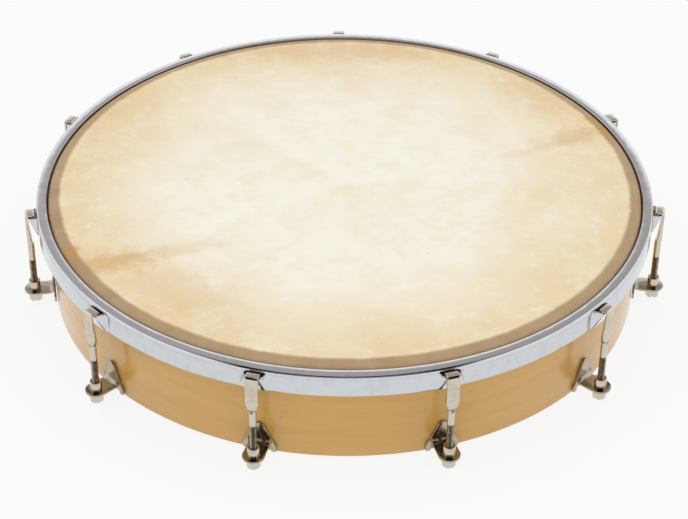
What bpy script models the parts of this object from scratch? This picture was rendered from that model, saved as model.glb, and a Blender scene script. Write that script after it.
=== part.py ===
"""Tunable hand drum: a bent ply frame, a natural hide and a steel counter hoop drawn down by hook screws.

Metres, +Z up. The origin is the middle of the playing face, on top of the hide. The first lug stands
on +Y, at the back, and the others follow anticlockwise. Run with: blender --background --python part.py
"""

import math

import bmesh
import bpy
from mathutils import Matrix, Vector

MM = 0.001

# Fineness of the round pieces
LUG_COUNT = 11
RING_STEPS = LUG_COUNT * 6
ROUND_SIDES = 12
MERGE_DISTANCE = 0.001 * MM
SHARP_ANGLE = math.radians(35)

# Clearance that pieces lying against each other keep
SEAT_GAP = 0.3 * MM

# Frame: bent ply, its top edge rounded over for the hide
FRAME_OUTER_RADIUS = 190.5 * MM
FRAME_WALL = 7.5 * MM
FRAME_HEIGHT = 67.6 * MM
CROWN_CHAMFER = 0.6 * MM
CROWN_WIDTH = 1.8 * MM
SHOULDER_RADIUS = 2.6 * MM
SHOULDER_DROP = 0.9 * MM
SHOULDER_ANGLES = (70, 35, 0)
RIM_CHAMFER = 0.8 * MM

# Hide
HIDE_THICKNESS = 0.6 * MM
COLLAR_DEPTH = 9.0 * MM
TUCK_OPENING = 1.0 * MM

# Flesh hoop that the hide is lapped round
FLESH_HOOP_WIDTH = 3.7 * MM
FLESH_HOOP_HEIGHT = 5.0 * MM

# Counter hoop: L section, with a pressed ear for each hook
HOOP_SHEET = 1.5 * MM
HOOP_DROP = 1.5 * MM
HOOP_HEIGHT = 14.4 * MM
HOOP_BEND_WIDTH = 1.2 * MM
HOOP_BEND_HEIGHT = 2.8 * MM
HOOP_BEND_ANGLES = (90, 45, 0)
HOOP_COLLAR_CLEARANCE = 0.9 * MM
BAND_STUB = 1.5 * MM
SLIT_HEIGHT = 0.5 * MM
SLIT_HALF_LENGTH = 6.6 * MM
SLIT_END_MARGIN = 0.3 * MM
EAR_HALF_LENGTH = 9.6 * MM
EAR_SEAT_MARGIN = 0.6 * MM
EAR_FOOT_REACH = 0.8 * MM
RIDGE_HIGH_SHARE = 0.85
RIDGE_LOW_SHARE = 0.15
SHEAR_HIGH_SHARE = 0.35
SHEAR_LOW_SHARE = 0.65
PLAIN_STATIONS = 4

# Tension hook: a round screw whose upper end is rolled flat and bent over the ear
ROD_RADIUS = 2.15 * MM
ROD_STANDOFF = 5.2 * MM
STRAP_WIDTH = 8.0 * MM
STRAP_THICKNESS = 1.3 * MM
STRAP_FOOT_THICKNESS = 3.4 * MM
STRAP_LENGTH = 21.4 * MM
SHOULDER_LENGTH = 3.2 * MM
TRAVEL_LEFT = 4.45 * MM
HOOK_BEND_RADIUS = 0.4 * MM
HOOK_TIP_LENGTH = 1.6 * MM
HOOK_CORNERS = 8
OUTER_BEND_ANGLES = (0, 45, 90)
INNER_BEND_ANGLES = (90, 135, 180)

# Bracket: pressed plate on the frame, with a tongue that carries the nut
BRACKET_SHEET = 1.5 * MM
PLATE_WIDTH = 20.5 * MM
PLATE_HEIGHT = 20.4 * MM
PLATE_APEX_RADIUS = 3.2 * MM
PLATE_SIDE_HEIGHT = 4.2 * MM
PLATE_LIFT = 0.9 * MM
TONGUE_RISE = 5.7 * MM
TONGUE_HALF_WIDTH = 6.8 * MM
TONGUE_ROOT_HALF_WIDTH = 6.2 * MM
TONGUE_BEND_RADIUS = 3.0 * MM
TONGUE_END_ANGLES = range(-180, 1, 30)
BEND_STEPS = 4
APEX_STEPS = 4
RELIEF_WIDTH = 0.9 * MM
RELIEF_RISE = 0.2 * MM
RELIEF_END_ANGLES = (180, 90, 0)
TONGUE_SHARE_OF_RELIEF = 0.75
STUD_RADIUS = 2.0 * MM
STUD_RISE = 12.0 * MM
STUD_END = 0.8 * MM

# Slotted sleeve nut under each hook screw
SLEEVE_RADIUS = 3.7 * MM
SLEEVE_RISE = 6.5 * MM
HEAD_RADIUS = 4.2 * MM
HEAD_HEIGHT = 6.4 * MM
HEAD_CHAMFER = 0.5 * MM
BORE_FLOOR = 2.2 * MM
DRIVE_SLOT_WIDTH = 1.2 * MM
DRIVE_SLOT_DEPTH = 1.3 * MM

# Flanged nut on each bracket stud, inside the frame
STUD_NUT_FLANGE_RADIUS = 5.0 * MM
STUD_NUT_FLANGE = 1.0 * MM
STUD_NUT_ACROSS_FLATS = 7.0 * MM
STUD_NUT_HEIGHT = 3.4 * MM

# How far a cutter runs past the piece that it cuts
CUT_MARGIN = 1.0 * MM

# Places that follow from the sizes
FRAME_INNER_RADIUS = FRAME_OUTER_RADIUS - FRAME_WALL
CROWN_Z = -(HIDE_THICKNESS + SEAT_GAP)
FRAME_BOTTOM_Z = CROWN_Z - FRAME_HEIGHT
CROWN_END_RADIUS = FRAME_INNER_RADIUS + CROWN_CHAMFER + CROWN_WIDTH
SHOULDER_CENTRE = (FRAME_OUTER_RADIUS - SHOULDER_RADIUS, CROWN_Z - SHOULDER_DROP - SHOULDER_RADIUS)
COLLAR_OUTER_RADIUS = FRAME_OUTER_RADIUS + SEAT_GAP + HIDE_THICKNESS

HOOP_TOP_Z = -HOOP_DROP
HOOP_BOTTOM_Z = HOOP_TOP_Z - HOOP_HEIGHT
FLANGE_INNER_RADIUS = COLLAR_OUTER_RADIUS + HOOP_COLLAR_CLEARANCE
LAP_INNER_RADIUS = COLLAR_OUTER_RADIUS + SEAT_GAP
FLESH_INNER_RADIUS = LAP_INNER_RADIUS + HIDE_THICKNESS + SEAT_GAP
FLESH_OUTER_RADIUS = FLESH_INNER_RADIUS + FLESH_HOOP_WIDTH
LAP_OUTER_RADIUS = FLESH_OUTER_RADIUS + SEAT_GAP + HIDE_THICKNESS
LAP_TOP_Z = HOOP_TOP_Z - HOOP_SHEET - SEAT_GAP
FLESH_TOP_Z = LAP_TOP_Z - HIDE_THICKNESS - SEAT_GAP
FLESH_BOTTOM_Z = FLESH_TOP_Z - FLESH_HOOP_HEIGHT
LAP_BOTTOM_Z = FLESH_BOTTOM_Z - SEAT_GAP - HIDE_THICKNESS
BAND_INNER_RADIUS = LAP_OUTER_RADIUS + SEAT_GAP
BAND_OUTER_RADIUS = BAND_INNER_RADIUS + HOOP_SHEET
SLIT_TOP_Z = HOOP_TOP_Z - HOOP_SHEET - BAND_STUB
EAR_TOP_Z = SLIT_TOP_Z - SLIT_HEIGHT

ROD_AXIS_RADIUS = BAND_OUTER_RADIUS + ROD_STANDOFF
STRAP_OUTER_RADIUS = ROD_AXIS_RADIUS + ROD_RADIUS
STRAP_MID_RADIUS = STRAP_OUTER_RADIUS - STRAP_THICKNESS / 2
EAR_OUTER_RADIUS = STRAP_MID_RADIUS - STRAP_THICKNESS / 2 - SEAT_GAP
EAR_REACH = EAR_OUTER_RADIUS - BAND_OUTER_RADIUS
EAR_SEAT_HALF_WIDTH = STRAP_WIDTH / 2 + EAR_SEAT_MARGIN
EAR_LEAN = (EAR_REACH - EAR_FOOT_REACH) / (EAR_TOP_Z - HOOP_BOTTOM_Z)
TIP_MID_RADIUS = (
    EAR_OUTER_RADIUS - HOOP_SHEET - EAR_LEAN * HOOK_TIP_LENGTH - SEAT_GAP - STRAP_THICKNESS / 2
)
STRAP_FOOT_Z = EAR_TOP_Z + STRAP_THICKNESS + HOOK_BEND_RADIUS - STRAP_LENGTH
ROD_TOP_Z = STRAP_FOOT_Z - SHOULDER_LENGTH

PLATE_INNER_RADIUS = FRAME_OUTER_RADIUS + SEAT_GAP
PLATE_OUTER_RADIUS = PLATE_INNER_RADIUS + BRACKET_SHEET
PLATE_BOTTOM_Z = FRAME_BOTTOM_Z + PLATE_LIFT
TONGUE_TOP_Z = PLATE_BOTTOM_Z + TONGUE_RISE
TONGUE_BOTTOM_Z = TONGUE_TOP_Z - BRACKET_SHEET
BEND_START_Z = TONGUE_TOP_Z + TONGUE_BEND_RADIUS
BEND_CENTRE_RADIUS = PLATE_OUTER_RADIUS + TONGUE_BEND_RADIUS
BEND_LENGTH = (TONGUE_BEND_RADIUS + BRACKET_SHEET / 2) * math.pi / 2
STUD_Z = PLATE_BOTTOM_Z + STUD_RISE
# The stud nut's flat flange meets the hollow inner wall at the flange's two sides.
STUD_NUT_SEAT_RADIUS = (
    FRAME_INNER_RADIUS - STUD_NUT_FLANGE_RADIUS * math.tan(math.pi / RING_STEPS) - SEAT_GAP
)
STUD_END_RADIUS = STUD_NUT_SEAT_RADIUS - STUD_NUT_FLANGE - STUD_NUT_HEIGHT - STUD_END

HEAD_TOP_Z = TONGUE_BOTTOM_Z - SEAT_GAP
HEAD_BOTTOM_Z = HEAD_TOP_Z - HEAD_HEIGHT
SLEEVE_TOP_Z = TONGUE_TOP_Z + SLEEVE_RISE
BORE_FLOOR_Z = HEAD_BOTTOM_Z + BORE_FLOOR
# The hook can still be drawn down by the travel that is left before its screw meets the bore's floor.
ROD_END_Z = BORE_FLOOR_Z + TRAVEL_LEFT

FIRST_LUG_ANGLE = math.pi / 2
LUG_ANGLES = [FIRST_LUG_ANGLE + math.tau * number / LUG_COUNT for number in range(LUG_COUNT)]


def clear_scene():
    for obj in list(bpy.data.objects):
        bpy.data.objects.remove(obj, do_unlink=True)


def new_collection(name):
    collection = bpy.data.collections.new(name)
    bpy.context.scene.collection.children.link(collection)
    return collection


def new_material(name, colour, roughness, metallic):
    material = bpy.data.materials.new(name)
    material.use_nodes = True
    shader = material.node_tree.nodes["Principled BSDF"]
    shader.inputs["Base Color"].default_value = (*colour, 1.0)
    shader.inputs["Roughness"].default_value = roughness
    shader.inputs["Metallic"].default_value = metallic
    return material


def place(mesh, name, material, collection, parent=None, location=(0.0, 0.0, 0.0), turn=0.0):
    """Puts a finished mesh in the drum as its own named object."""
    obj = bpy.data.objects.new(name, mesh)
    collection.objects.link(obj)
    obj.parent = parent
    obj.location = location
    obj.rotation_euler.z = turn
    if not mesh.materials:
        mesh.materials.append(material)
    mesh.shade_smooth()
    mesh.set_sharp_from_angle(angle=SHARP_ANGLE)
    return obj


def helper(mesh, cutters, matrix=None):
    """A hidden object that a mesh is made from, or cut with."""
    obj = bpy.data.objects.new("helper", mesh)
    cutters.objects.link(obj)
    obj.hide_render = True
    obj.display_type = "WIRE"
    if matrix is not None:
        obj.matrix_world = matrix
    return obj


def mesh_of(obj, name):
    """The object's shape with its modifiers and its place worked in. The object itself is removed."""
    bpy.context.view_layer.update()
    evaluated = obj.evaluated_get(bpy.context.evaluated_depsgraph_get())
    mesh = bpy.data.meshes.new_from_object(evaluated)
    mesh.transform(obj.matrix_world)
    mesh.name = name
    bpy.data.objects.remove(obj, do_unlink=True)
    return mesh


def turned(name, outline, steps, cutters):
    """A turned solid from (radius, height) points that run down its outer side, first one at the top."""
    mesh = bpy.data.meshes.new(name)
    rim = range(len(outline))
    edges = [(index, (index + 1) % len(outline)) for index in rim]
    if outline[0][0] == 0.0:
        edges.pop()
    mesh.from_pydata([(radius, 0.0, height) for radius, height in outline], edges, [])
    obj = helper(mesh, cutters)
    screw = obj.modifiers.new("Turn", "SCREW")
    screw.steps = steps
    screw.render_steps = steps
    screw.use_merge_vertices = True
    screw.merge_threshold = MERGE_DISTANCE
    return mesh_of(obj, name)


def slab(name, outline, thickness, matrix, cutters):
    """A flat outline of (x, y) points, given a thickness upwards from its own plane and then placed."""
    curve = bpy.data.curves.new(name, "CURVE")
    curve.dimensions = "2D"
    curve.fill_mode = "BOTH"
    curve.extrude = thickness / 2
    spline = curve.splines.new("POLY")
    spline.points.add(len(outline) - 1)
    for point, (x, y) in zip(spline.points, outline):
        point.co = (x, y, 0.0, 1.0)
    spline.use_cyclic_u = True
    obj = helper(curve, cutters, matrix @ Matrix.Translation((0.0, 0.0, thickness / 2)))
    mesh = mesh_of(obj, name)
    shape = bmesh.new()
    shape.from_mesh(mesh)
    bmesh.ops.remove_doubles(shape, verts=shape.verts, dist=MERGE_DISTANCE)
    shape.to_mesh(mesh)
    shape.free()
    return mesh


def rod(name, radius, start, end, sides=ROUND_SIDES):
    """A round bar between two points."""
    axis = Vector(end) - Vector(start)
    middle = (Vector(end) + Vector(start)) / 2
    turn = axis.to_track_quat("Z", "Y").to_matrix().to_4x4()
    shape = bmesh.new()
    bmesh.ops.create_cone(
        shape,
        cap_ends=True,
        segments=sides,
        radius1=radius,
        radius2=radius,
        depth=axis.length,
        matrix=Matrix.Translation(middle) @ turn,
    )
    mesh = bpy.data.meshes.new(name)
    shape.to_mesh(mesh)
    shape.free()
    return mesh


def block(name, low, high):
    """A box between its lowest and highest corners."""
    size = Vector(high) - Vector(low)
    middle = (Vector(high) + Vector(low)) / 2
    shape = bmesh.new()
    bmesh.ops.create_cube(shape, size=1.0, matrix=Matrix.Translation(middle) @ Matrix.Diagonal((*size, 1.0)))
    mesh = bpy.data.meshes.new(name)
    shape.to_mesh(mesh)
    shape.free()
    return mesh


def combined(name, base, others, operation, cutters):
    """The base mesh joined with, or cut by, each of the other meshes in turn."""
    obj = helper(base, cutters)
    tools = [helper(mesh, cutters) for mesh in others]
    for tool in tools:
        modifier = obj.modifiers.new("Shape", "BOOLEAN")
        modifier.operation = operation
        modifier.object = tool
    mesh = mesh_of(obj, name)
    for tool in tools:
        bpy.data.objects.remove(tool, do_unlink=True)
    return mesh


def round_the_lugs(mesh):
    """One mesh that holds a copy at every lug of a mesh made in the lug's own frame."""
    shape = bmesh.new()
    for angle in LUG_ANGLES:
        copy = mesh.copy()
        copy.transform(Matrix.Rotation(angle, 4, "Z"))
        shape.from_mesh(copy)
    shape.to_mesh(mesh)
    shape.free()
    return mesh


def ellipse(centre, half_width, half_height, angles):
    """Points on an ellipse in a section, at these angles in degrees."""
    turns = [math.radians(angle) for angle in angles]
    return [(centre[0] + half_width * math.cos(turn), centre[1] + half_height * math.sin(turn)) for turn in turns]


def arc(centre, radius, angles):
    return ellipse(centre, radius, radius, angles)


def frame_mesh(cutters):
    outline = [
        (FRAME_INNER_RADIUS + CROWN_CHAMFER, CROWN_Z),
        (CROWN_END_RADIUS, CROWN_Z),
        *arc(SHOULDER_CENTRE, SHOULDER_RADIUS, SHOULDER_ANGLES),
        (FRAME_OUTER_RADIUS, FRAME_BOTTOM_Z + RIM_CHAMFER),
        (FRAME_OUTER_RADIUS - RIM_CHAMFER, FRAME_BOTTOM_Z),
        (FRAME_INNER_RADIUS + RIM_CHAMFER, FRAME_BOTTOM_Z),
        (FRAME_INNER_RADIUS, FRAME_BOTTOM_Z + RIM_CHAMFER),
        (FRAME_INNER_RADIUS, CROWN_Z - CROWN_CHAMFER),
    ]
    ring = turned("frame_shell", outline, RING_STEPS, cutters)
    ring.transform(Matrix.Rotation(FIRST_LUG_ANGLE, 4, "Z"))
    hole = rod(
        "stud_hole",
        STUD_RADIUS + SEAT_GAP,
        (FRAME_INNER_RADIUS - CUT_MARGIN, 0.0, STUD_Z),
        (FRAME_OUTER_RADIUS + CUT_MARGIN, 0.0, STUD_Z),
    )
    return combined("frame_shell", ring, [round_the_lugs(hole)], "DIFFERENCE", cutters)


def membrane_mesh(cutters):
    """The hide over the frame: the flat face, the curve over the bearing edge and the collar outside it."""
    inner_radius = SHOULDER_RADIUS + SEAT_GAP
    outline = [
        (0.0, 0.0),
        (CROWN_END_RADIUS, 0.0),
        *arc(SHOULDER_CENTRE, inner_radius + HIDE_THICKNESS, SHOULDER_ANGLES),
        (COLLAR_OUTER_RADIUS, -COLLAR_DEPTH),
        (COLLAR_OUTER_RADIUS - HIDE_THICKNESS, -COLLAR_DEPTH),
        *arc(SHOULDER_CENTRE, inner_radius, reversed(SHOULDER_ANGLES)),
        (CROWN_END_RADIUS, -HIDE_THICKNESS),
        (0.0, -HIDE_THICKNESS),
    ]
    return turned("skin_membrane", outline, RING_STEPS, cutters)


def lap_mesh(cutters):
    """The hide's edge, which goes over the flesh hoop, round it and up again beside the collar."""
    sheet = HIDE_THICKNESS
    outline = [
        (LAP_INNER_RADIUS, LAP_TOP_Z),
        (LAP_OUTER_RADIUS, LAP_TOP_Z),
        (LAP_OUTER_RADIUS, LAP_BOTTOM_Z),
        (LAP_INNER_RADIUS, LAP_BOTTOM_Z),
        (LAP_INNER_RADIUS, LAP_TOP_Z - sheet - TUCK_OPENING),
        (LAP_INNER_RADIUS + sheet, LAP_TOP_Z - sheet - TUCK_OPENING),
        (LAP_INNER_RADIUS + sheet, LAP_BOTTOM_Z + sheet),
        (LAP_OUTER_RADIUS - sheet, LAP_BOTTOM_Z + sheet),
        (LAP_OUTER_RADIUS - sheet, LAP_TOP_Z - sheet),
        (LAP_INNER_RADIUS, LAP_TOP_Z - sheet),
    ]
    return turned("skin_lap", outline, RING_STEPS, cutters)


def flesh_hoop_mesh(cutters):
    outline = [
        (FLESH_INNER_RADIUS, FLESH_TOP_Z),
        (FLESH_OUTER_RADIUS, FLESH_TOP_Z),
        (FLESH_OUTER_RADIUS, FLESH_BOTTOM_Z),
        (FLESH_INNER_RADIUS, FLESH_BOTTOM_Z),
    ]
    return turned("flesh_hoop", outline, RING_STEPS, cutters)


def hoop_section(along):
    """The counter hoop's section (radius, height) at this distance from a lug's middle.

    The ear stands out furthest at its top edge. A ridge runs from the top edge's end down to the ear's
    end at the foot of the band, and the band's foot itself is hardly pressed out.
    """
    seat = EAR_SEAT_HALF_WIDTH
    slope = min(max((EAR_HALF_LENGTH - abs(along)) / (EAR_HALF_LENGTH - seat), 0.0), 1.0)
    top_slope = min(max((SLIT_HALF_LENGTH - abs(along)) / (SLIT_HALF_LENGTH - seat), 0.0), 1.0)
    top = EAR_REACH * top_slope
    foot = EAR_FOOT_REACH * slope
    ridge = (EAR_FOOT_REACH + (EAR_REACH - EAR_FOOT_REACH) * RIDGE_HIGH_SHARE) * slope
    ridge_share = RIDGE_LOW_SHARE + (RIDGE_HIGH_SHARE - RIDGE_LOW_SHARE) * slope
    shear_high = SLIT_TOP_Z - SLIT_HEIGHT * SHEAR_HIGH_SHARE
    shear_low = SLIT_TOP_Z - SLIT_HEIGHT * SHEAR_LOW_SHARE
    ridge_z = HOOP_BOTTOM_Z + (shear_low - HOOP_BOTTOM_Z) * ridge_share
    bend_centre = (BAND_OUTER_RADIUS - HOOP_BEND_WIDTH, HOOP_TOP_Z - HOOP_BEND_HEIGHT)
    return [
        (FLANGE_INNER_RADIUS, HOOP_TOP_Z),
        *ellipse(bend_centre, HOOP_BEND_WIDTH, HOOP_BEND_HEIGHT, HOOP_BEND_ANGLES),
        (BAND_OUTER_RADIUS, shear_high),
        (BAND_OUTER_RADIUS + top, shear_low),
        (BAND_OUTER_RADIUS + ridge, ridge_z),
        (BAND_OUTER_RADIUS + foot, HOOP_BOTTOM_Z),
        (BAND_INNER_RADIUS + foot, HOOP_BOTTOM_Z),
        (BAND_INNER_RADIUS + ridge, ridge_z),
        (BAND_INNER_RADIUS + top, shear_low),
        (BAND_INNER_RADIUS, shear_high),
        (BAND_INNER_RADIUS, HOOP_TOP_Z - HOOP_SHEET),
        (FLANGE_INNER_RADIUS, HOOP_TOP_Z - HOOP_SHEET),
    ]


def hoop_stations():
    """(angle, distance from the nearest lug's middle) of each section round the hoop."""
    ear_angle = EAR_HALF_LENGTH / BAND_OUTER_RADIUS
    offsets = [EAR_SEAT_HALF_WIDTH, SLIT_HALF_LENGTH, EAR_HALF_LENGTH]
    plain_arc = math.tau / LUG_COUNT - 2 * ear_angle
    stations = []
    for lug_angle in LUG_ANGLES:
        for along in [-offset for offset in reversed(offsets)] + offsets:
            stations.append((lug_angle + along / BAND_OUTER_RADIUS, along))
        for step in range(1, PLAIN_STATIONS + 1):
            angle = lug_angle + ear_angle + plain_arc * step / (PLAIN_STATIONS + 1)
            stations.append((angle, EAR_HALF_LENGTH))
    return stations


def patch(shape, corners):
    """A four-sided face, folded along the diagonal whose middle is further from the drum's axis."""
    first, second, third, fourth = corners
    if (first.co + third.co).xy.length < (second.co + fourth.co).xy.length:
        first, second, third, fourth = second, third, fourth, first
    shape.faces.new((first, second, third))
    shape.faces.new((first, third, fourth))


def loft(name, sections, ring):
    """A skin over sections with as many points each, closed on itself as a ring or capped at its ends."""
    shape = bmesh.new()
    loops = [[shape.verts.new(point) for point in section] for section in sections]
    pairs = list(zip(loops, loops[1:]))
    if ring:
        pairs.append((loops[-1], loops[0]))
    else:
        shape.faces.new(loops[0])
        shape.faces.new(loops[-1])
    count = len(sections[0])
    for loop, following in pairs:
        for index in range(count):
            after = (index + 1) % count
            patch(shape, (loop[index], loop[after], following[after], following[index]))
    bmesh.ops.recalc_face_normals(shape, faces=shape.faces)
    mesh = bpy.data.meshes.new(name)
    shape.to_mesh(mesh)
    shape.free()
    return mesh


def counter_hoop_mesh(cutters):
    sections = []
    for angle, along in hoop_stations():
        turn = Matrix.Rotation(angle, 3, "Z")
        sections.append([turn @ Vector((radius, 0.0, height)) for radius, height in hoop_section(along)])
    ring = loft("counter_hoop", sections, True)
    half_length = SLIT_HALF_LENGTH + SLIT_END_MARGIN
    slit = block(
        "slit",
        (BAND_INNER_RADIUS - CUT_MARGIN, -half_length, EAR_TOP_Z),
        (EAR_OUTER_RADIUS + CUT_MARGIN, half_length, SLIT_TOP_Z),
    )
    return combined("counter_hoop", ring, [round_the_lugs(slit)], "DIFFERENCE", cutters)


def cross_section(centre, lean, half_width, half_thickness, flat):
    """Points across the hook at (radius, height), square to a path that leans by this angle."""
    across = Vector((math.cos(lean), 0.0, math.sin(lean)))
    points = []
    for corner in range(HOOK_CORNERS):
        angle = math.tau * corner / HOOK_CORNERS
        side, out = math.cos(angle), math.sin(angle)
        if flat:
            side = min(max(side * math.sqrt(2), -1.0), 1.0)
            out = min(max(out * math.sqrt(2), -1.0), 1.0)
        centre_point = Vector((centre[0], 0.0, centre[1]))
        points.append(centre_point + across * out * half_thickness + Vector((0.0, side * half_width, 0.0)))
    return points


def hook_mesh():
    """The hook in its lug's frame, +X out from the drum, from the screw's end up and over the ear."""
    round_size = (ROD_RADIUS, ROD_RADIUS, False)
    flat_size = (STRAP_WIDTH / 2, STRAP_THICKNESS / 2, True)
    foot_size = (STRAP_WIDTH / 2, STRAP_FOOT_THICKNESS / 2, True)
    foot_mid_radius = STRAP_OUTER_RADIUS - STRAP_FOOT_THICKNESS / 2
    bend = HOOK_BEND_RADIUS + STRAP_THICKNESS / 2
    outer_centre = (STRAP_MID_RADIUS - bend, EAR_TOP_Z)
    inner_centre = (TIP_MID_RADIUS + bend, EAR_TOP_Z)
    sections = [
        cross_section((ROD_AXIS_RADIUS, ROD_END_Z), 0.0, *round_size),
        cross_section((ROD_AXIS_RADIUS, ROD_TOP_Z), 0.0, *round_size),
        cross_section((foot_mid_radius, STRAP_FOOT_Z), 0.0, *foot_size),
    ]
    for centre, angles in ((outer_centre, OUTER_BEND_ANGLES), (inner_centre, INNER_BEND_ANGLES)):
        for point, angle in zip(arc(centre, bend, angles), angles):
            sections.append(cross_section(point, math.radians(angle), *flat_size))
    tip = (TIP_MID_RADIUS, EAR_TOP_Z - HOOK_TIP_LENGTH)
    sections.append(cross_section(tip, math.pi, *flat_size))
    return loft("tension_hook", sections, False)


def bracket_outline():
    """The bracket's sheet before its tongue is bent out, as (sideways, up) points."""
    half = PLATE_WIDTH / 2
    apex = (0.0, PLATE_BOTTOM_Z + PLATE_HEIGHT - PLATE_APEX_RADIUS)
    flank_foot = (half, PLATE_BOTTOM_Z + PLATE_SIDE_HEIGHT)
    run, rise = flank_foot[0] - apex[0], apex[1] - flank_foot[1]
    # The line from the flank's foot touches the apex circle at this angle.
    touch = math.degrees(math.acos(PLATE_APEX_RADIUS / math.hypot(run, rise)) - math.atan2(rise, run))
    apex_angles = [touch + (180 - 2 * touch) * step / APEX_STEPS for step in range(APEX_STEPS + 1)]
    relief_centre = (TONGUE_ROOT_HALF_WIDTH + RELIEF_WIDTH / 2, BEND_START_Z + RELIEF_RISE)
    tongue_end_z = BEND_START_Z - BEND_LENGTH - (ROD_AXIS_RADIUS - BEND_CENTRE_RADIUS)
    tongue_end = arc((0.0, tongue_end_z), TONGUE_HALF_WIDTH, TONGUE_END_ANGLES)
    right_side = [
        *arc(relief_centre, RELIEF_WIDTH / 2, RELIEF_END_ANGLES),
        (TONGUE_ROOT_HALF_WIDTH + RELIEF_WIDTH, PLATE_BOTTOM_Z),
        (half, PLATE_BOTTOM_Z),
        flank_foot,
    ]
    left_side = [(-x, y) for x, y in reversed(right_side)]
    return tongue_end + right_side + arc(apex, PLATE_APEX_RADIUS, apex_angles) + left_side


def bend_the_tongue(mesh):
    """Bends the tongue of the flat bracket out from the drum, round the bend's centre."""
    shape = bmesh.new()
    shape.from_mesh(mesh)
    reach = TONGUE_ROOT_HALF_WIDTH + RELIEF_WIDTH * TONGUE_SHARE_OF_RELIEF
    for step in range(BEND_STEPS + 1):
        faces = [face for face in shape.faces if all(abs(vertex.co.y) < reach for vertex in face.verts)]
        edges = {edge for face in faces for edge in face.edges}
        bmesh.ops.bisect_plane(
            shape,
            geom=[*faces, *edges],
            plane_co=(0.0, 0.0, BEND_START_Z - BEND_LENGTH * step / BEND_STEPS),
            plane_no=(0.0, 0.0, 1.0),
        )
    for vertex in shape.verts:
        past_start = BEND_START_Z - vertex.co.z
        if past_start <= 0 or abs(vertex.co.y) > reach:
            continue
        angle = min(past_start / BEND_LENGTH, 1.0) * math.pi / 2
        from_centre = BEND_CENTRE_RADIUS - vertex.co.x
        straight = max(past_start - BEND_LENGTH, 0.0)
        vertex.co.x = BEND_CENTRE_RADIUS - from_centre * math.cos(angle) + straight
        vertex.co.z = BEND_START_Z - from_centre * math.sin(angle)
    shape.to_mesh(mesh)
    shape.free()


def bracket_mesh(cutters):
    """The bracket in its lug's frame, with the stud that holds it welded to the back of its plate."""
    standing = Matrix(((0, 0, 1, PLATE_INNER_RADIUS), (1, 0, 0, 0), (0, 1, 0, 0), (0, 0, 0, 1)))
    sheet = slab("sheet", bracket_outline(), BRACKET_SHEET, standing, cutters)
    bend_the_tongue(sheet)
    stud = rod(
        "stud",
        STUD_RADIUS,
        (STUD_END_RADIUS, 0.0, STUD_Z),
        (PLATE_INNER_RADIUS + BRACKET_SHEET / 2, 0.0, STUD_Z),
    )
    joined = combined("bracket", sheet, [stud], "UNION", cutters)
    nut_hole = rod(
        "nut_hole",
        SLEEVE_RADIUS + SEAT_GAP,
        (ROD_AXIS_RADIUS, 0.0, TONGUE_BOTTOM_Z - CUT_MARGIN),
        (ROD_AXIS_RADIUS, 0.0, TONGUE_TOP_Z + CUT_MARGIN),
    )
    return combined("bracket", joined, [nut_hole], "DIFFERENCE", cutters)


def sleeve_nut_mesh(cutters):
    """The nut round its own axis: a bored sleeve above the tongue and a slotted head below it."""
    bore_radius = ROD_RADIUS + SEAT_GAP
    outline = [
        (0.0, BORE_FLOOR_Z),
        (bore_radius, BORE_FLOOR_Z),
        (bore_radius, SLEEVE_TOP_Z),
        (SLEEVE_RADIUS, SLEEVE_TOP_Z),
        (SLEEVE_RADIUS, HEAD_TOP_Z),
        (HEAD_RADIUS, HEAD_TOP_Z),
        (HEAD_RADIUS, HEAD_BOTTOM_Z + HEAD_CHAMFER),
        (HEAD_RADIUS - HEAD_CHAMFER, HEAD_BOTTOM_Z),
        (0.0, HEAD_BOTTOM_Z),
    ]
    body = turned("sleeve_nut", outline, ROUND_SIDES, cutters)
    slot = block(
        "drive_slot",
        (-DRIVE_SLOT_WIDTH / 2, -HEAD_RADIUS - CUT_MARGIN, HEAD_BOTTOM_Z - CUT_MARGIN),
        (DRIVE_SLOT_WIDTH / 2, HEAD_RADIUS + CUT_MARGIN, HEAD_BOTTOM_Z + DRIVE_SLOT_DEPTH),
    )
    return combined("sleeve_nut", body, [slot], "DIFFERENCE", cutters)


def stud_nut_mesh(cutters):
    """The flanged nut in its lug's frame, its flange against the frame's inner wall."""
    flange_face = STUD_NUT_SEAT_RADIUS - STUD_NUT_FLANGE
    corner_radius = STUD_NUT_ACROSS_FLATS / math.sqrt(3)
    flange = rod("flange", STUD_NUT_FLANGE_RADIUS, (flange_face, 0.0, STUD_Z), (STUD_NUT_SEAT_RADIUS, 0.0, STUD_Z))
    hexagon = rod(
        "hexagon",
        corner_radius,
        (flange_face - STUD_NUT_HEIGHT, 0.0, STUD_Z),
        (flange_face + STUD_NUT_FLANGE / 2, 0.0, STUD_Z),
        sides=6,
    )
    joined = combined("stud_nut", flange, [hexagon], "UNION", cutters)
    bore = rod(
        "bore",
        STUD_RADIUS + SEAT_GAP,
        (flange_face - STUD_NUT_HEIGHT - CUT_MARGIN, 0.0, STUD_Z),
        (STUD_NUT_SEAT_RADIUS + CUT_MARGIN, 0.0, STUD_Z),
    )
    return combined("stud_nut", joined, [bore], "DIFFERENCE", cutters)


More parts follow.
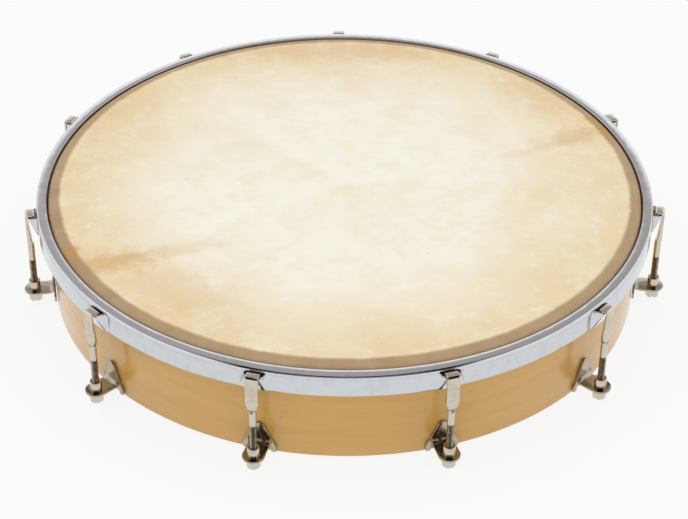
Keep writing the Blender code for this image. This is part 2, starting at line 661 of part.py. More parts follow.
def build_drum():
    clear_scene()
    drum = new_collection("hand_drum")
    cutters = new_collection("cutters")
    ply = new_material("lacquered_ply", (0.52, 0.33, 0.14), 0.35, 0.0)
    hide = new_material("natural_hide", (0.80, 0.68, 0.48), 0.55, 0.0)
    chrome = new_material("chromed_steel", (0.75, 0.76, 0.78), 0.12, 1.0)
    nickel = new_material("nickelled_steel", (0.62, 0.58, 0.53), 0.22, 1.0)
    steel = new_material("plain_steel", (0.45, 0.45, 0.45), 0.40, 1.0)

    place(frame_mesh(cutters), "frame_shell", ply, drum)
    place(membrane_mesh(cutters), "skin_membrane", hide, drum, turn=FIRST_LUG_ANGLE)
    place(lap_mesh(cutters), "skin_lap", hide, drum, turn=FIRST_LUG_ANGLE)
    place(flesh_hoop_mesh(cutters), "flesh_hoop", steel, drum, turn=FIRST_LUG_ANGLE)
    place(counter_hoop_mesh(cutters), "counter_hoop", chrome, drum)

    hook = hook_mesh()
    bracket = bracket_mesh(cutters)
    sleeve_nut = sleeve_nut_mesh(cutters)
    stud_nut = stud_nut_mesh(cutters)
    for number, angle in enumerate(LUG_ANGLES, start=1):
        lug = bpy.data.objects.new(f"lug_{number:02d}", None)
        drum.objects.link(lug)
        lug.rotation_euler.z = angle
        place(hook, f"tension_hook_{number:02d}", nickel, drum, lug)
        place(bracket, f"bracket_{number:02d}", nickel, drum, lug)
        place(sleeve_nut, f"sleeve_nut_{number:02d}", nickel, drum, lug, (ROD_AXIS_RADIUS, 0.0, 0.0))
        place(stud_nut, f"stud_nut_{number:02d}", steel, drum, lug)


build_drum()
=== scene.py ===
"""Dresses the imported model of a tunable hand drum: ply frame, hide, hoops, hooks, brackets and nuts.

Metres, +Z up. The origin is the middle of the playing face. The first lug stands at the back, on +Y.
"""

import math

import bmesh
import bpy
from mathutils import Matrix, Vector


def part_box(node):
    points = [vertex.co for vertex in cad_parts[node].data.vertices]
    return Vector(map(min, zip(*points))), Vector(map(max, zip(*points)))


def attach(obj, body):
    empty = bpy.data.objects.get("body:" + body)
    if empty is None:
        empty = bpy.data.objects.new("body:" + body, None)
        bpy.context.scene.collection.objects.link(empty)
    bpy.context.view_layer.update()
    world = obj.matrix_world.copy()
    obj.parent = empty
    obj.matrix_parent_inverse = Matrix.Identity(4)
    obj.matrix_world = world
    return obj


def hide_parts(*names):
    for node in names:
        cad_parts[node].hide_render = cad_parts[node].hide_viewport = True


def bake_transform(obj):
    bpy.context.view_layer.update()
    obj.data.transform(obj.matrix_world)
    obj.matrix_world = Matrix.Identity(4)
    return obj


bl_info = {
    "name": "Hand Drum",
    "version": (1, 0, 0),
    "blender": (4, 5, 0),
    "location": "3D View > Sidebar > Drum",
    "description": "Makes the visible pieces of a tunable hand drum and the stage that it is shown on",
    "category": "Add Mesh",
}

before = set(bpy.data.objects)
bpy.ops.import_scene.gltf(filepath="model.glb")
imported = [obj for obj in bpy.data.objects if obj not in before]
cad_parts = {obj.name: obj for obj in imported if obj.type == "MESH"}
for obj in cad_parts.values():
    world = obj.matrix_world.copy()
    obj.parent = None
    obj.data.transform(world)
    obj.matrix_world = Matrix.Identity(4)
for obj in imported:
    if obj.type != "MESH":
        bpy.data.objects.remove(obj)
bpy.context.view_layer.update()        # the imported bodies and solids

MM = 0.001

# Lugs
LUG_COUNT = sum(name.startswith("tension_hook_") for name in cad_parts)
FIRST_LUG_ANGLE = math.pi / 2
LUG_ANGLES = [FIRST_LUG_ANGLE + math.tau * number / LUG_COUNT for number in range(LUG_COUNT)]

# Fineness
RING_STEPS = LUG_COUNT * 30
NUT_STEPS = 40
MERGE_DISTANCE = 0.001 * MM
SHARP_ANGLE = math.radians(32)
CUT_MARGIN = 1.0 * MM
SEAT_GAP = 0.3 * MM
# A corner's curve takes up to this share of the sides beside it
CORNER_SHARE = 0.45


# The first lug's pieces stand on +Y, so there a depth is a distance from the drum's axis


def lowest(node):
    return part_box(node)[0].z


def highest(node):
    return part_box(node)[1].z


def furthest_back(node):
    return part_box(node)[1].y


def furthest_front(node):
    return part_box(node)[0].y


def half_width(node):
    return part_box(node)[1].x


# Ply frame
FRAME_TOP_Z = highest("frame_shell")
FRAME_BOTTOM_Z = lowest("frame_shell")
FRAME_OUTER_RADIUS = furthest_back("frame_shell")
FRAME_WALL = 7.5 * MM
FRAME_INNER_RADIUS = FRAME_OUTER_RADIUS - FRAME_WALL
CROWN_CHAMFER = 0.6 * MM
CROWN_EDGE_ROUNDING = 0.2 * MM
CROWN_WIDTH = 1.8 * MM
CROWN_END_RADIUS = FRAME_INNER_RADIUS + CROWN_CHAMFER + CROWN_WIDTH
SHOULDER_RADIUS = 2.6 * MM
SHOULDER_DROP = 0.9 * MM
SHOULDER_CENTRE = (FRAME_OUTER_RADIUS - SHOULDER_RADIUS, FRAME_TOP_Z - SHOULDER_DROP - SHOULDER_RADIUS)
SHOULDER_START_ANGLE = 70
RIM_CHAMFER = 0.8 * MM
WALL_TOLERANCE = 0.25 * MM

# Hide and flesh hoop
HIDE_THICKNESS = 0.6 * MM
COLLAR_OUTER_RADIUS = furthest_back("skin_membrane")
COLLAR_MID_RADIUS = COLLAR_OUTER_RADIUS - HIDE_THICKNESS / 2
FACE_SHARES = (0.0, 0.2, 0.4, 0.6, 0.8, 0.93, 1.0)
COLLAR_SHARES = (0.25, 0.5, 0.75)
LAP_TOP_Z = highest("skin_lap")
LAP_BOTTOM_Z = lowest("skin_lap")
LAP_OUTER_RADIUS = furthest_back("skin_lap")
LAP_INNER_RADIUS = COLLAR_OUTER_RADIUS + SEAT_GAP
LAP_CORNER = 0.9 * MM
TUCK_END_RISE = 1.7 * MM
TUCK_END_Z = LAP_BOTTOM_Z + TUCK_END_RISE
HIDE_JOIN_REACH = 1.4 * MM
HIDE_JOIN_RADIUS = LAP_INNER_RADIUS + HIDE_JOIN_REACH
FLESH_HOOP_CORNER = 0.8 * MM

# Counter hoop
HOOP_SHEET = 1.5 * MM
HOOP_TOP_Z = highest("counter_hoop")
HOOP_BOTTOM_Z = lowest("counter_hoop")
HOOP_COLLAR_CLEARANCE = 0.9 * MM
FLANGE_INNER_RADIUS = COLLAR_OUTER_RADIUS + HOOP_COLLAR_CLEARANCE
BAND_INNER_RADIUS = LAP_OUTER_RADIUS + SEAT_GAP
BAND_OUTER_RADIUS = BAND_INNER_RADIUS + HOOP_SHEET
HOOP_BEND_WIDTH = 1.2 * MM
HOOP_BEND_HEIGHT = 2.8 * MM
EDGE_ROUNDING = 0.45 * MM
LIP_ROUNDING = 0.9 * MM
INNER_LIP_ROUNDING = 0.3 * MM
BAND_STUB = 1.0 * MM
SLIT_TOP_Z = HOOP_TOP_Z - HOOP_SHEET - BAND_STUB
SLIT_HEIGHT = 0.5 * MM
SLIT_HALF_LENGTH = 6.2 * MM
SLIT_END_INSET = 0.6 * MM
SHEAR_HIGH_SHARE = 0.35
SHEAR_LOW_SHARE = 0.65
EAR_TOP_Z = SLIT_TOP_Z - SLIT_HEIGHT
EAR_HALF_LENGTH = 9.6 * MM
EAR_OUTER_RADIUS = furthest_back("counter_hoop")
EAR_REACH = EAR_OUTER_RADIUS - BAND_OUTER_RADIUS
EAR_FOOT_REACH = 0.8 * MM
EAR_LEAN = (EAR_REACH - EAR_FOOT_REACH) / (EAR_TOP_Z - HOOP_BOTTOM_Z)
RIDGE_HIGH_SHARE = 0.85
RIDGE_LOW_SHARE = 0.15
EAR_ROUNDING = 0.7 * MM
EAR_ROUNDING_SHARES = (-1.0, -0.5, 0.0, 0.5, 1.0)
EAR_WALL = 0.9 * MM
EAR_STATION = 0.5 * MM
BAND_STATION = 3.0 * MM

# Tension hooks
ROD_AXIS_RADIUS = (furthest_back("sleeve_nut_01") + furthest_front("sleeve_nut_01")) / 2
STRAP_OUTER_RADIUS = furthest_back("tension_hook_01")
ROD_RADIUS = STRAP_OUTER_RADIUS - ROD_AXIS_RADIUS
ROD_END_Z = lowest("tension_hook_01")
HOOK_TOP_Z = highest("tension_hook_01")
STRAP_HALF_WIDTH = half_width("tension_hook_01")
EAR_SEAT_MARGIN = 1.0 * MM
EAR_SEAT_HALF_WIDTH = STRAP_HALF_WIDTH + EAR_SEAT_MARGIN
STRAP_THICKNESS = 1.3 * MM
STRAP_FOOT_THICKNESS = 3.4 * MM
STRAP_LENGTH = 21.4 * MM
STRAP_FOOT_Z = HOOK_TOP_Z - STRAP_LENGTH
ROLLED_LENGTH = 3.2 * MM
ROD_TOP_Z = STRAP_FOOT_Z - ROLLED_LENGTH
TAPER_LENGTH = 6.2 * MM
TAPER_TOP_Z = ROD_TOP_Z + TAPER_LENGTH
TAPER_EXPONENT = 1.4
STRAP_STEPS = 40
STRAP_STEP_EXPONENT = 1.5
HOOK_LIFT = 0.5 * MM
HOOK_SLACK = 0.9 * MM
HOOK_BEND_RADIUS = HOOK_TOP_Z + HOOK_LIFT - EAR_TOP_Z - STRAP_THICKNESS
HOOK_BEND_MID_RADIUS = HOOK_BEND_RADIUS + STRAP_THICKNESS / 2
HOOK_BEND_STEPS = 7
HOOK_TIP_LENGTH = 1.6 * MM
TIP_NARROWING = 0.08
# Down the tip: how far down, as a share of its length, and how thick, as a share of the strap
TIP_SECTIONS = ((0.7, 1.0), (0.92, 0.92), (1.0, 0.6))
EAR_BACK_RADIUS = EAR_OUTER_RADIUS - HOOP_SHEET - EAR_LEAN * HOOK_TIP_LENGTH
TIP_MID_RADIUS = EAR_BACK_RADIUS - HOOK_SLACK - SEAT_GAP - STRAP_THICKNESS / 2
PLAIN_LENGTH = 35.0 * MM
THREAD_TOP_Z = HOOK_TOP_Z - PLAIN_LENGTH
THREAD_PITCH = 0.7 * MM
THREAD_DEPTH = 0.35 * MM
THREAD_ENTRY = 0.5 * MM
THREAD_RUN_OUT_TURNS = 2
THREAD_ROWS = 6
HOOK_POINTS = 24
ROUND_EXPONENT = 2.0
FLAT_EXPONENT = 7.0
NOTCH_RISE = 1.1 * MM
NOTCH_TOP_Z = ROD_TOP_Z + NOTCH_RISE
NOTCH_HEIGHT = 2.5 * MM
NOTCH_MARGIN = 0.2 * MM
NOTCH_HALF_WIDTH = 1.7 * MM
NOTCH_DEPTH = 0.6 * MM

# Brackets
BRACKET_SHEET = 1.5 * MM
PLATE_INNER_RADIUS = FRAME_OUTER_RADIUS + SEAT_GAP
PLATE_OUTER_RADIUS = PLATE_INNER_RADIUS + BRACKET_SHEET
PLATE_LIFT = 0.9 * MM
PLATE_BOTTOM_Z = FRAME_BOTTOM_Z + PLATE_LIFT
PLATE_TOP_Z = highest("bracket_01")
PLATE_HALF_WIDTH = half_width("bracket_01")
PLATE_APEX_RADIUS = 3.2 * MM
PLATE_SIDE_HEIGHT = 4.2 * MM
PLATE_CORNER = 0.7 * MM
FLANK_SHARE = 0.1
TONGUE_LIFT = 4.2 * MM
TONGUE_BOTTOM_Z = PLATE_BOTTOM_Z + TONGUE_LIFT
TONGUE_TOP_Z = TONGUE_BOTTOM_Z + BRACKET_SHEET
TONGUE_HALF_WIDTH = 6.8 * MM
TONGUE_ROOT_HALF_WIDTH = 6.2 * MM
TONGUE_BEND_RADIUS = 3.0 * MM
BEND_STEPS = 10
BEND_START_Z = TONGUE_TOP_Z + TONGUE_BEND_RADIUS
BEND_CENTRE_RADIUS = PLATE_OUTER_RADIUS + TONGUE_BEND_RADIUS
BEND_LENGTH = (TONGUE_BEND_RADIUS + BRACKET_SHEET / 2) * math.pi / 2
RELIEF_WIDTH = 0.9 * MM
RELIEF_RISE = 0.2 * MM
TONGUE_SHARE_OF_RELIEF = 0.75
SHEET_EDGE_ROUNDING = 0.22 * MM
STUD_RADIUS = 2.0 * MM
STUD_RISE = 12.0 * MM
STUD_Z = PLATE_BOTTOM_Z + STUD_RISE
STUD_END_RADIUS = furthest_front("bracket_01")

# Sleeve nuts
HEAD_BOTTOM_Z = lowest("sleeve_nut_01")
HEAD_TOP_Z = TONGUE_BOTTOM_Z - SEAT_GAP
HEAD_RADIUS = furthest_back("sleeve_nut_01") - ROD_AXIS_RADIUS
HEAD_ROUNDING = 0.6 * MM
SLEEVE_TOP_Z = highest("sleeve_nut_01")
SLEEVE_RADIUS = 3.7 * MM
SLEEVE_FILLET = 0.15 * MM
NUT_ROUNDING = 0.45 * MM
BORE_RADIUS = ROD_RADIUS + SEAT_GAP
BORE_FLOOR = 2.2 * MM
BORE_FLOOR_Z = HEAD_BOTTOM_Z + BORE_FLOOR
DRIVE_SLOT_WIDTH = 1.2 * MM
DRIVE_SLOT_DEPTH = 1.3 * MM

# Stud nuts
STUD_NUT_SEAT_RADIUS = furthest_back("stud_nut_01")
STUD_NUT_END_RADIUS = furthest_front("stud_nut_01")
STUD_NUT_FLANGE = 1.0 * MM
STUD_NUT_FLANGE_RADIUS = 5.0 * MM
STUD_NUT_ACROSS_FLATS = 7.0 * MM
STUD_NUT_CORNER_RADIUS = STUD_NUT_ACROSS_FLATS / math.sqrt(3)
STUD_NUT_ROUNDING = 0.3 * MM
CONE_HEIGHT = 1.4 * MM
CONE_END_SHARE = 0.88

# Stage
FLOOR_SIZE = 14.0
FLOOR_Z = HEAD_BOTTOM_Z
OVERHEAD_PLACE = (0.0, 0.1, 1.9)
OVERHEAD_SIZE = (2.4, 2.0)
FRONT_PLACE = (0.0, -2.2, 0.9)
FRONT_SIZE = (2.8, 1.4)

# The photograph's camera, as angles and distances that a photographer would note
PHOTO_WIDTH_PX = 688
FOCAL_LENGTH_PX = 2024.5
SENSOR_WIDTH_MM = 36.0
CAMERA_PLACE = (-0.0318, -1.0957, 0.7235)
CAMERA_YAW = math.radians(1.66)
CAMERA_PITCH = math.radians(35.61)
CAMERA_ROLL = math.radians(-0.68)


# Settings


def linear(hex_colour):
    """An sRGB hex colour such as #F6E7C8 as linear red, green and blue."""
    channels = [int(hex_colour[place:place + 2], 16) / 255 for place in (1, 3, 5)]
    return tuple(c / 12.92 if c <= 0.04045 else ((c + 0.055) / 1.055) ** 2.4 for c in channels)


def colour_property(name, description, hex_colour):
    colour = linear(hex_colour)
    return bpy.props.FloatVectorProperty(
        name=name, description=description, subtype="COLOR", size=3, min=0.0, max=1.0, default=colour
    )


def length_property(name, description, length):
    return bpy.props.FloatProperty(name=name, description=description, default=length, unit="LENGTH")


def light_property(name, description, amount, unit="NONE"):
    return bpy.props.FloatProperty(name=name, description=description, default=amount, min=0.0, unit=unit)


class HideSettings(bpy.types.PropertyGroup):
    centre: colour_property("Centre", "The thin, pale middle of the hide", "#F9F5E6")
    warm: colour_property("Warm", "The hide near its rim, and its cloudy patches", "#EBCF9C")
    # Partly painted shade: the ring over the frame is darker where no light shines through the hide
    over_wood_and_shade: colour_property("Over wood", "The hide where the frame shows through it", "#AD8F6C")
    stain: colour_property("Stain", "Old stains in the hide", "#CF9440")
    # Painted shade: the lap is set dark brown for the shade it lies in inside the counter hoop
    lap: colour_property("Lap", "The dark edge lapped round the flesh hoop", "#7A5C3C")


class FrameSettings(bpy.types.PropertyGroup):
    veneer: colour_property("Veneer", "The frame's outer veneer", "#C89A4C")
    grain: colour_property("Grain", "The darker grain of the veneer", "#B58238")
    core: colour_property("Core", "The dark plies at the frame's edges", "#9A7040")
    grain_spacing: length_property("Grain spacing", "Height of one streak of grain", 1.6 * MM)
    ply_thickness: length_property("Ply thickness", "Thickness of one ply", 1.5 * MM)


class MetalSettings(bpy.types.PropertyGroup):
    chrome: colour_property("Chrome", "The counter hoop's plating", "#CFD2D6")
    nickel: colour_property("Nickel", "The plating of the hooks and their nuts", "#CFC7B8")
    # Painted shade: the brackets' nickel is set darker and browner than the hooks'
    shaded_nickel: colour_property("Handled nickel", "The plating of the brackets", "#B5AB9A")
    # The thread colour is also painted in the hook's notch as its shade
    thread: colour_property("Thread", "The oily screw threads", "#B9AC9C")
    zinc: colour_property("Zinc", "The nuts inside the frame and the flesh hoop", "#B3B6B8")
    wave: length_property("Wave", "Length of the shallow waves that pressing leaves", 14 * MM)


class StageSettings(bpy.types.PropertyGroup):
    floor: colour_property("Floor", "The light table under the drum", "#5C5C5C")
    top_power: light_property("Top power", "Light of the softbox overhead", 16.5, "POWER")
    front_power: light_property("Front power", "Light of the softbox over the camera", 19.0, "POWER")
    table_glow: light_property("Table glow", "Light of the table's own lamps, as a share of white", 0.87)
    room_strength: light_property("Room strength", "Light of the room's walls", 1.15)


def settings(name):
    return getattr(bpy.context.scene, "drum_" + name)


# Shapes


def between(start, end, share):
    return start + (end - start) * share


def share_between(value, start, end):
    """How far a value is from start to end, from 0 to 1."""
    return min(max((value - start) / (end - start), 0.0), 1.0)


def smooth(share):
    share = min(max(share, 0.0), 1.0)
    return share * share * (3 - 2 * share)


def ellipse(centre, half_length, half_height, first, last, steps):
    """Points on an ellipse in a section, between two angles in degrees."""
    points = []
    for step in range(steps + 1):
        angle = math.radians(first + (last - first) * step / steps)
        points.append((centre[0] + half_length * math.cos(angle), centre[1] + half_height * math.sin(angle)))
    return points


def arc(centre, radius, first, last, steps):
    return ellipse(centre, radius, radius, first, last, steps)


def kept(points):
    """The points marked so that rounded() leaves them as they are."""
    return [(*point, 0.0) for point in points]


def rounded(points, radius, steps=3, closed=True):
    """The outline with its corners turned into curves. A point's third value is its own corner's radius."""
    result = []
    for index, corner in enumerate(points):
        here = Vector(corner[:2])
        reach = corner[2] if len(corner) > 2 else radius
        if reach == 0 or (not closed and index in (0, len(points) - 1)):
            result.append(tuple(here))
            continue
        before = Vector(points[index - 1][:2]) - here
        after = Vector(points[(index + 1) % len(points)][:2]) - here
        start = here + before.normalized() * min(reach, before.length * CORNER_SHARE)
        end = here + after.normalized() * min(reach, after.length * CORNER_SHARE)
        for step in range(steps + 1):
            share = step / steps
            result.append(tuple(start.lerp(here, share).lerp(here.lerp(end, share), share)))
    return result


def strip(path, thickness):
    """A closed outline of this thickness round an open path."""
    points = [Vector(point) for point in path]
    left, right = [], []
    for index, point in enumerate(points):
        ahead = points[min(index + 1, len(points) - 1)] - points[max(index - 1, 0)]
        side = Vector((-ahead.y, ahead.x)).normalized() * thickness / 2
        left.append(tuple(point + side))
        right.append(tuple(point - side))
    return left + right[::-1]


def mesh_from(shape, name):
    bmesh.ops.remove_doubles(shape, verts=shape.verts, dist=MERGE_DISTANCE)
    bmesh.ops.recalc_face_normals(shape, faces=shape.faces)
    mesh = bpy.data.meshes.new(name)
    shape.to_mesh(mesh)
    shape.free()
    return mesh


def lofted(name, sections, ring):
    """A skin over sections with as many points each, closed on itself as a ring or capped at its ends."""
    shape = bmesh.new()
    loops = [[shape.verts.new(point) for point in section] for section in sections]
    pairs = list(zip(loops, loops[1:]))
    if ring:
        pairs.append((loops[-1], loops[0]))
    else:
        shape.faces.new(loops[0])
        shape.faces.new(loops[-1])
    count = len(sections[0])
    for loop, following in pairs:
        for index in range(count):
            after = (index + 1) % count
            shape.faces.new((loop[index], loop[after], following[after], following[index]))
    return mesh_from(shape, name)


def turned(name, outline, steps=RING_STEPS):
    """A solid turned about +Z from a closed outline of (radius, height) points."""
    shape = bmesh.new()
    rings = []
    for step in range(steps):
        turn = Matrix.Rotation(FIRST_LUG_ANGLE + math.tau * step / steps, 3, "Z")
        rings.append([shape.verts.new(turn @ Vector((radius, 0.0, height))) for radius, height in outline])
    count = len(outline)
    for ring, following in zip(rings, rings[1:] + rings[:1]):
        for index in range(count):
            after = (index + 1) % count
            # A side that lies on the axis has no width
            if outline[index][0] or outline[after][0]:
                shape.faces.new((ring[index], ring[after], following[after], following[index]))
    return mesh_from(shape, name)


def bar(name, radius, start, end, sides=NUT_STEPS):
    """A round or many-sided bar between two points."""
    axis = Vector(end) - Vector(start)
    turn = axis.to_track_quat("Z", "Y").to_matrix().to_4x4()
    shape = bmesh.new()
    bmesh.ops.create_cone(
        shape,
        cap_ends=True,
        segments=sides,
        radius1=radius,
        radius2=radius,
        depth=axis.length,
        matrix=Matrix.Translation((Vector(end) + Vector(start)) / 2) @ turn,
    )
    return mesh_from(shape, name)


def block(name, low, high):
    size = Vector(high) - Vector(low)
    middle = (Vector(high) + Vector(low)) / 2
    shape = bmesh.new()
    bmesh.ops.create_cube(shape, size=1.0, matrix=Matrix.Translation(middle) @ Matrix.Diagonal((*size, 1.0)))
    return mesh_from(shape, name)


def round_the_lugs(mesh):
    """One mesh that holds a copy at every lug of a mesh made in the lug's own frame, +X out from the drum."""
    shape = bmesh.new()
    for angle in LUG_ANGLES:
        copy = mesh.copy()
        copy.transform(Matrix.Rotation(angle, 4, "Z"))
        shape.from_mesh(copy)
    return mesh_from(shape, mesh.name)


def new_object(name, data):
    obj = bpy.data.objects.new(name, data)
    bpy.context.scene.collection.objects.link(obj)
    return obj


def evaluated_mesh(obj, name):
    """The object's shape with its modifiers worked in. The object itself is removed."""
    bpy.context.view_layer.update()
    mesh = bpy.data.meshes.new_from_object(obj.evaluated_get(bpy.context.evaluated_depsgraph_get()))
    mesh.transform(obj.matrix_world)
    mesh.name = name
    bpy.data.objects.remove(obj, do_unlink=True)
    return mesh


def combined(name, base, other, operation):
    """The base mesh joined with, cut by or kept inside the other mesh."""
    obj = new_object("shaping", base)
    tool = new_object("tool", other)
    modifier = obj.modifiers.new("Shape", "BOOLEAN")
    modifier.operation = operation
    modifier.object = tool
    mesh = evaluated_mesh(obj, name)
    bpy.data.objects.remove(tool, do_unlink=True)
    return mesh


def show(name, mesh, materials, node, body=None, turn=0.0):
    """Puts a finished mesh in the scene in place of its node, riding on its body."""
    obj = new_object(name, mesh)
    obj.matrix_world = Matrix.Rotation(turn, 4, "Z")
    if not mesh.materials:
        for material in materials:
            mesh.materials.append(material)
        mesh.shade_smooth()
        mesh.set_sharp_from_angle(angle=SHARP_ANGLE)
    if body:
        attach(obj, body)
    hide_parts(node)
    return obj


def show_at_lugs(stem, mesh, materials, node_stem, body):
    """A copy of one mesh, made in the lug's own frame, at each lug.

    The body's name may hold a place for the lug's number.
    """
    for number, angle in enumerate(LUG_ANGLES, start=1):
        name, node = f"{stem}_{number:02d}", f"{node_stem}_{number:02d}"
        show(name, mesh, materials, node, body.format(number), angle)


# Materials

# Sockets of the colour form of the Mix node
FACTOR, FIRST, SECOND, MIXED = 0, 6, 7, 2
# Most of a cloud pattern lies between these values
MOST_CLOUDS = {"From Min": 0.3, "From Max": 0.7}


def set_inputs(tree, node, inputs):
    """Gives each socket its value, or the socket that feeds it. A colour is red, green and blue."""
    for key, value in inputs.items():
        socket = node.inputs[key]
        if isinstance(value, bpy.types.NodeSocket):
            tree.links.new(value, socket)
        elif socket.type == "RGBA":
            socket.default_value = (*value, 1.0)
        else:
            socket.default_value = value


def add_node(tree, kind, inputs=None, **values):
    """Adds a node with its settings, and its sockets as set_inputs takes them."""
    node = tree.nodes.new(kind)
    for name, value in values.items():
        setattr(node, name, value)
    set_inputs(tree, node, inputs or {})
    return node


def layered(tree, colour, layers):
    """The colour under layers of other colours, each laid on where a pattern goes from one value to another.

    A layer is (its colour, the pattern, the value where it starts to show, the value where it shows most,
    its strength there).
    """
    for over, pattern, start, end, strength in layers:
        span = {"Value": pattern, "From Min": start, "From Max": end, "To Max": strength}
        share = add_node(tree, "ShaderNodeMapRange", span, interpolation_type="SMOOTHSTEP").outputs["Result"]
        pair = {FACTOR: share, FIRST: colour, SECOND: over}
        colour = add_node(tree, "ShaderNodeMix", pair, data_type="RGBA").outputs[MIXED]
    return colour


def wandering(tree, distance, pattern, amount):
    """A distance that a pattern makes up to this much longer or shorter, so that an edge wanders."""
    span = {"Value": pattern, **MOST_CLOUDS, "To Min": -amount, "To Max": amount}
    shift = add_node(tree, "ShaderNodeMapRange", span).outputs["Result"]
    return add_node(tree, "ShaderNodeMath", {0: distance, 1: shift}, operation="ADD").outputs["Value"]


def clouds(tree, place, size, detail=3.0, roughness=0.5, stretch=(1.0, 1.0, 1.0)):
    """Noise from 0 to 1 whose clouds are about this size in metres, stretched along the place's axes."""
    shrink = tuple(1 / axis for axis in stretch)
    scaled = add_node(tree, "ShaderNodeVectorMath", {0: place, 1: shrink}, operation="MULTIPLY")
    inputs = {"Vector": scaled.outputs["Vector"], "Scale": 1 / size, "Detail": detail, "Roughness": roughness}
    return add_node(tree, "ShaderNodeTexNoise", inputs).outputs["Fac"]


def new_material(name):
    material = bpy.data.materials.new(name)
    material.use_nodes = True
    return material, material.node_tree, material.node_tree.nodes["Principled BSDF"]


# Stains of the skin: centre in mm, half length and half width in mm, turn in degrees, strength
STAINS = (
    ((-171.5, -76.5), 8.0, 5.5, 80, 0.70),
    ((-146.0, -88.0), 34.0, 14.0, 12, 0.42),
    ((-112.0, -76.0), 40.0, 8.0, 12, 0.18),
    ((156.0, 55.0), 30.0, 11.0, 24, 0.34),
    ((125.0, 38.0), 34.0, 6.0, 24, 0.12),
    ((176.5, 60.0), 10.0, 5.0, -70, 0.55),
    ((171.0, 75.0), 9.0, 5.0, -66, 0.45),
    ((-100.0, -120.0), 60.0, 22.0, -34, 0.16),
    ((140.0, 108.0), 48.0, 24.0, -38, 0.14),
    ((-158.0, 92.0), 50.0, 26.0, 55, 0.14),
    ((0.0, 170.0), 130.0, 16.0, 0, 0.26),
    ((148.0, -114.0), 12.0, 3.5, 30, 0.26),
)
# The spots up to this half length reach the ring over the frame and are laid over it once more
SPOT_HALF_LENGTH = 10.0
SPOTS = [stain for stain in STAINS if stain[1] <= SPOT_HALF_LENGTH]
# Where a stain starts to show, where it shows most and how far its edge wanders, as shares of its half size
STAIN_START = 1.3
STAIN_FULL = 0.2
STAIN_WANDER = 0.4


def stain_layers(tree, place, colour, ragged, stains):
    """A layer for each soft-edged stain, with an edge that a pattern makes ragged."""
    layers = []
    for centre, half_length, half_breadth, turn, strength in stains:
        middle = (centre[0] * MM, centre[1] * MM, 0.0)
        moved = add_node(tree, "ShaderNodeVectorMath", {0: place, 1: middle}, operation="SUBTRACT")
        turning = {"Vector": moved.outputs["Vector"], "Angle": -math.radians(turn)}
        spun = add_node(tree, "ShaderNodeVectorRotate", turning, rotation_type="Z_AXIS").outputs["Vector"]
        shrink = (1 / (half_length * MM), 1 / (half_breadth * MM), 0.0)
        scaled = add_node(tree, "ShaderNodeVectorMath", {0: spun, 1: shrink}, operation="MULTIPLY")
        length = add_node(tree, "ShaderNodeVectorMath", {0: scaled.outputs["Vector"]}, operation="LENGTH")
        uneven = wandering(tree, length.outputs["Value"], ragged, STAIN_WANDER)
        layers.append((colour, uneven, STAIN_START, STAIN_FULL, strength))
    return layers


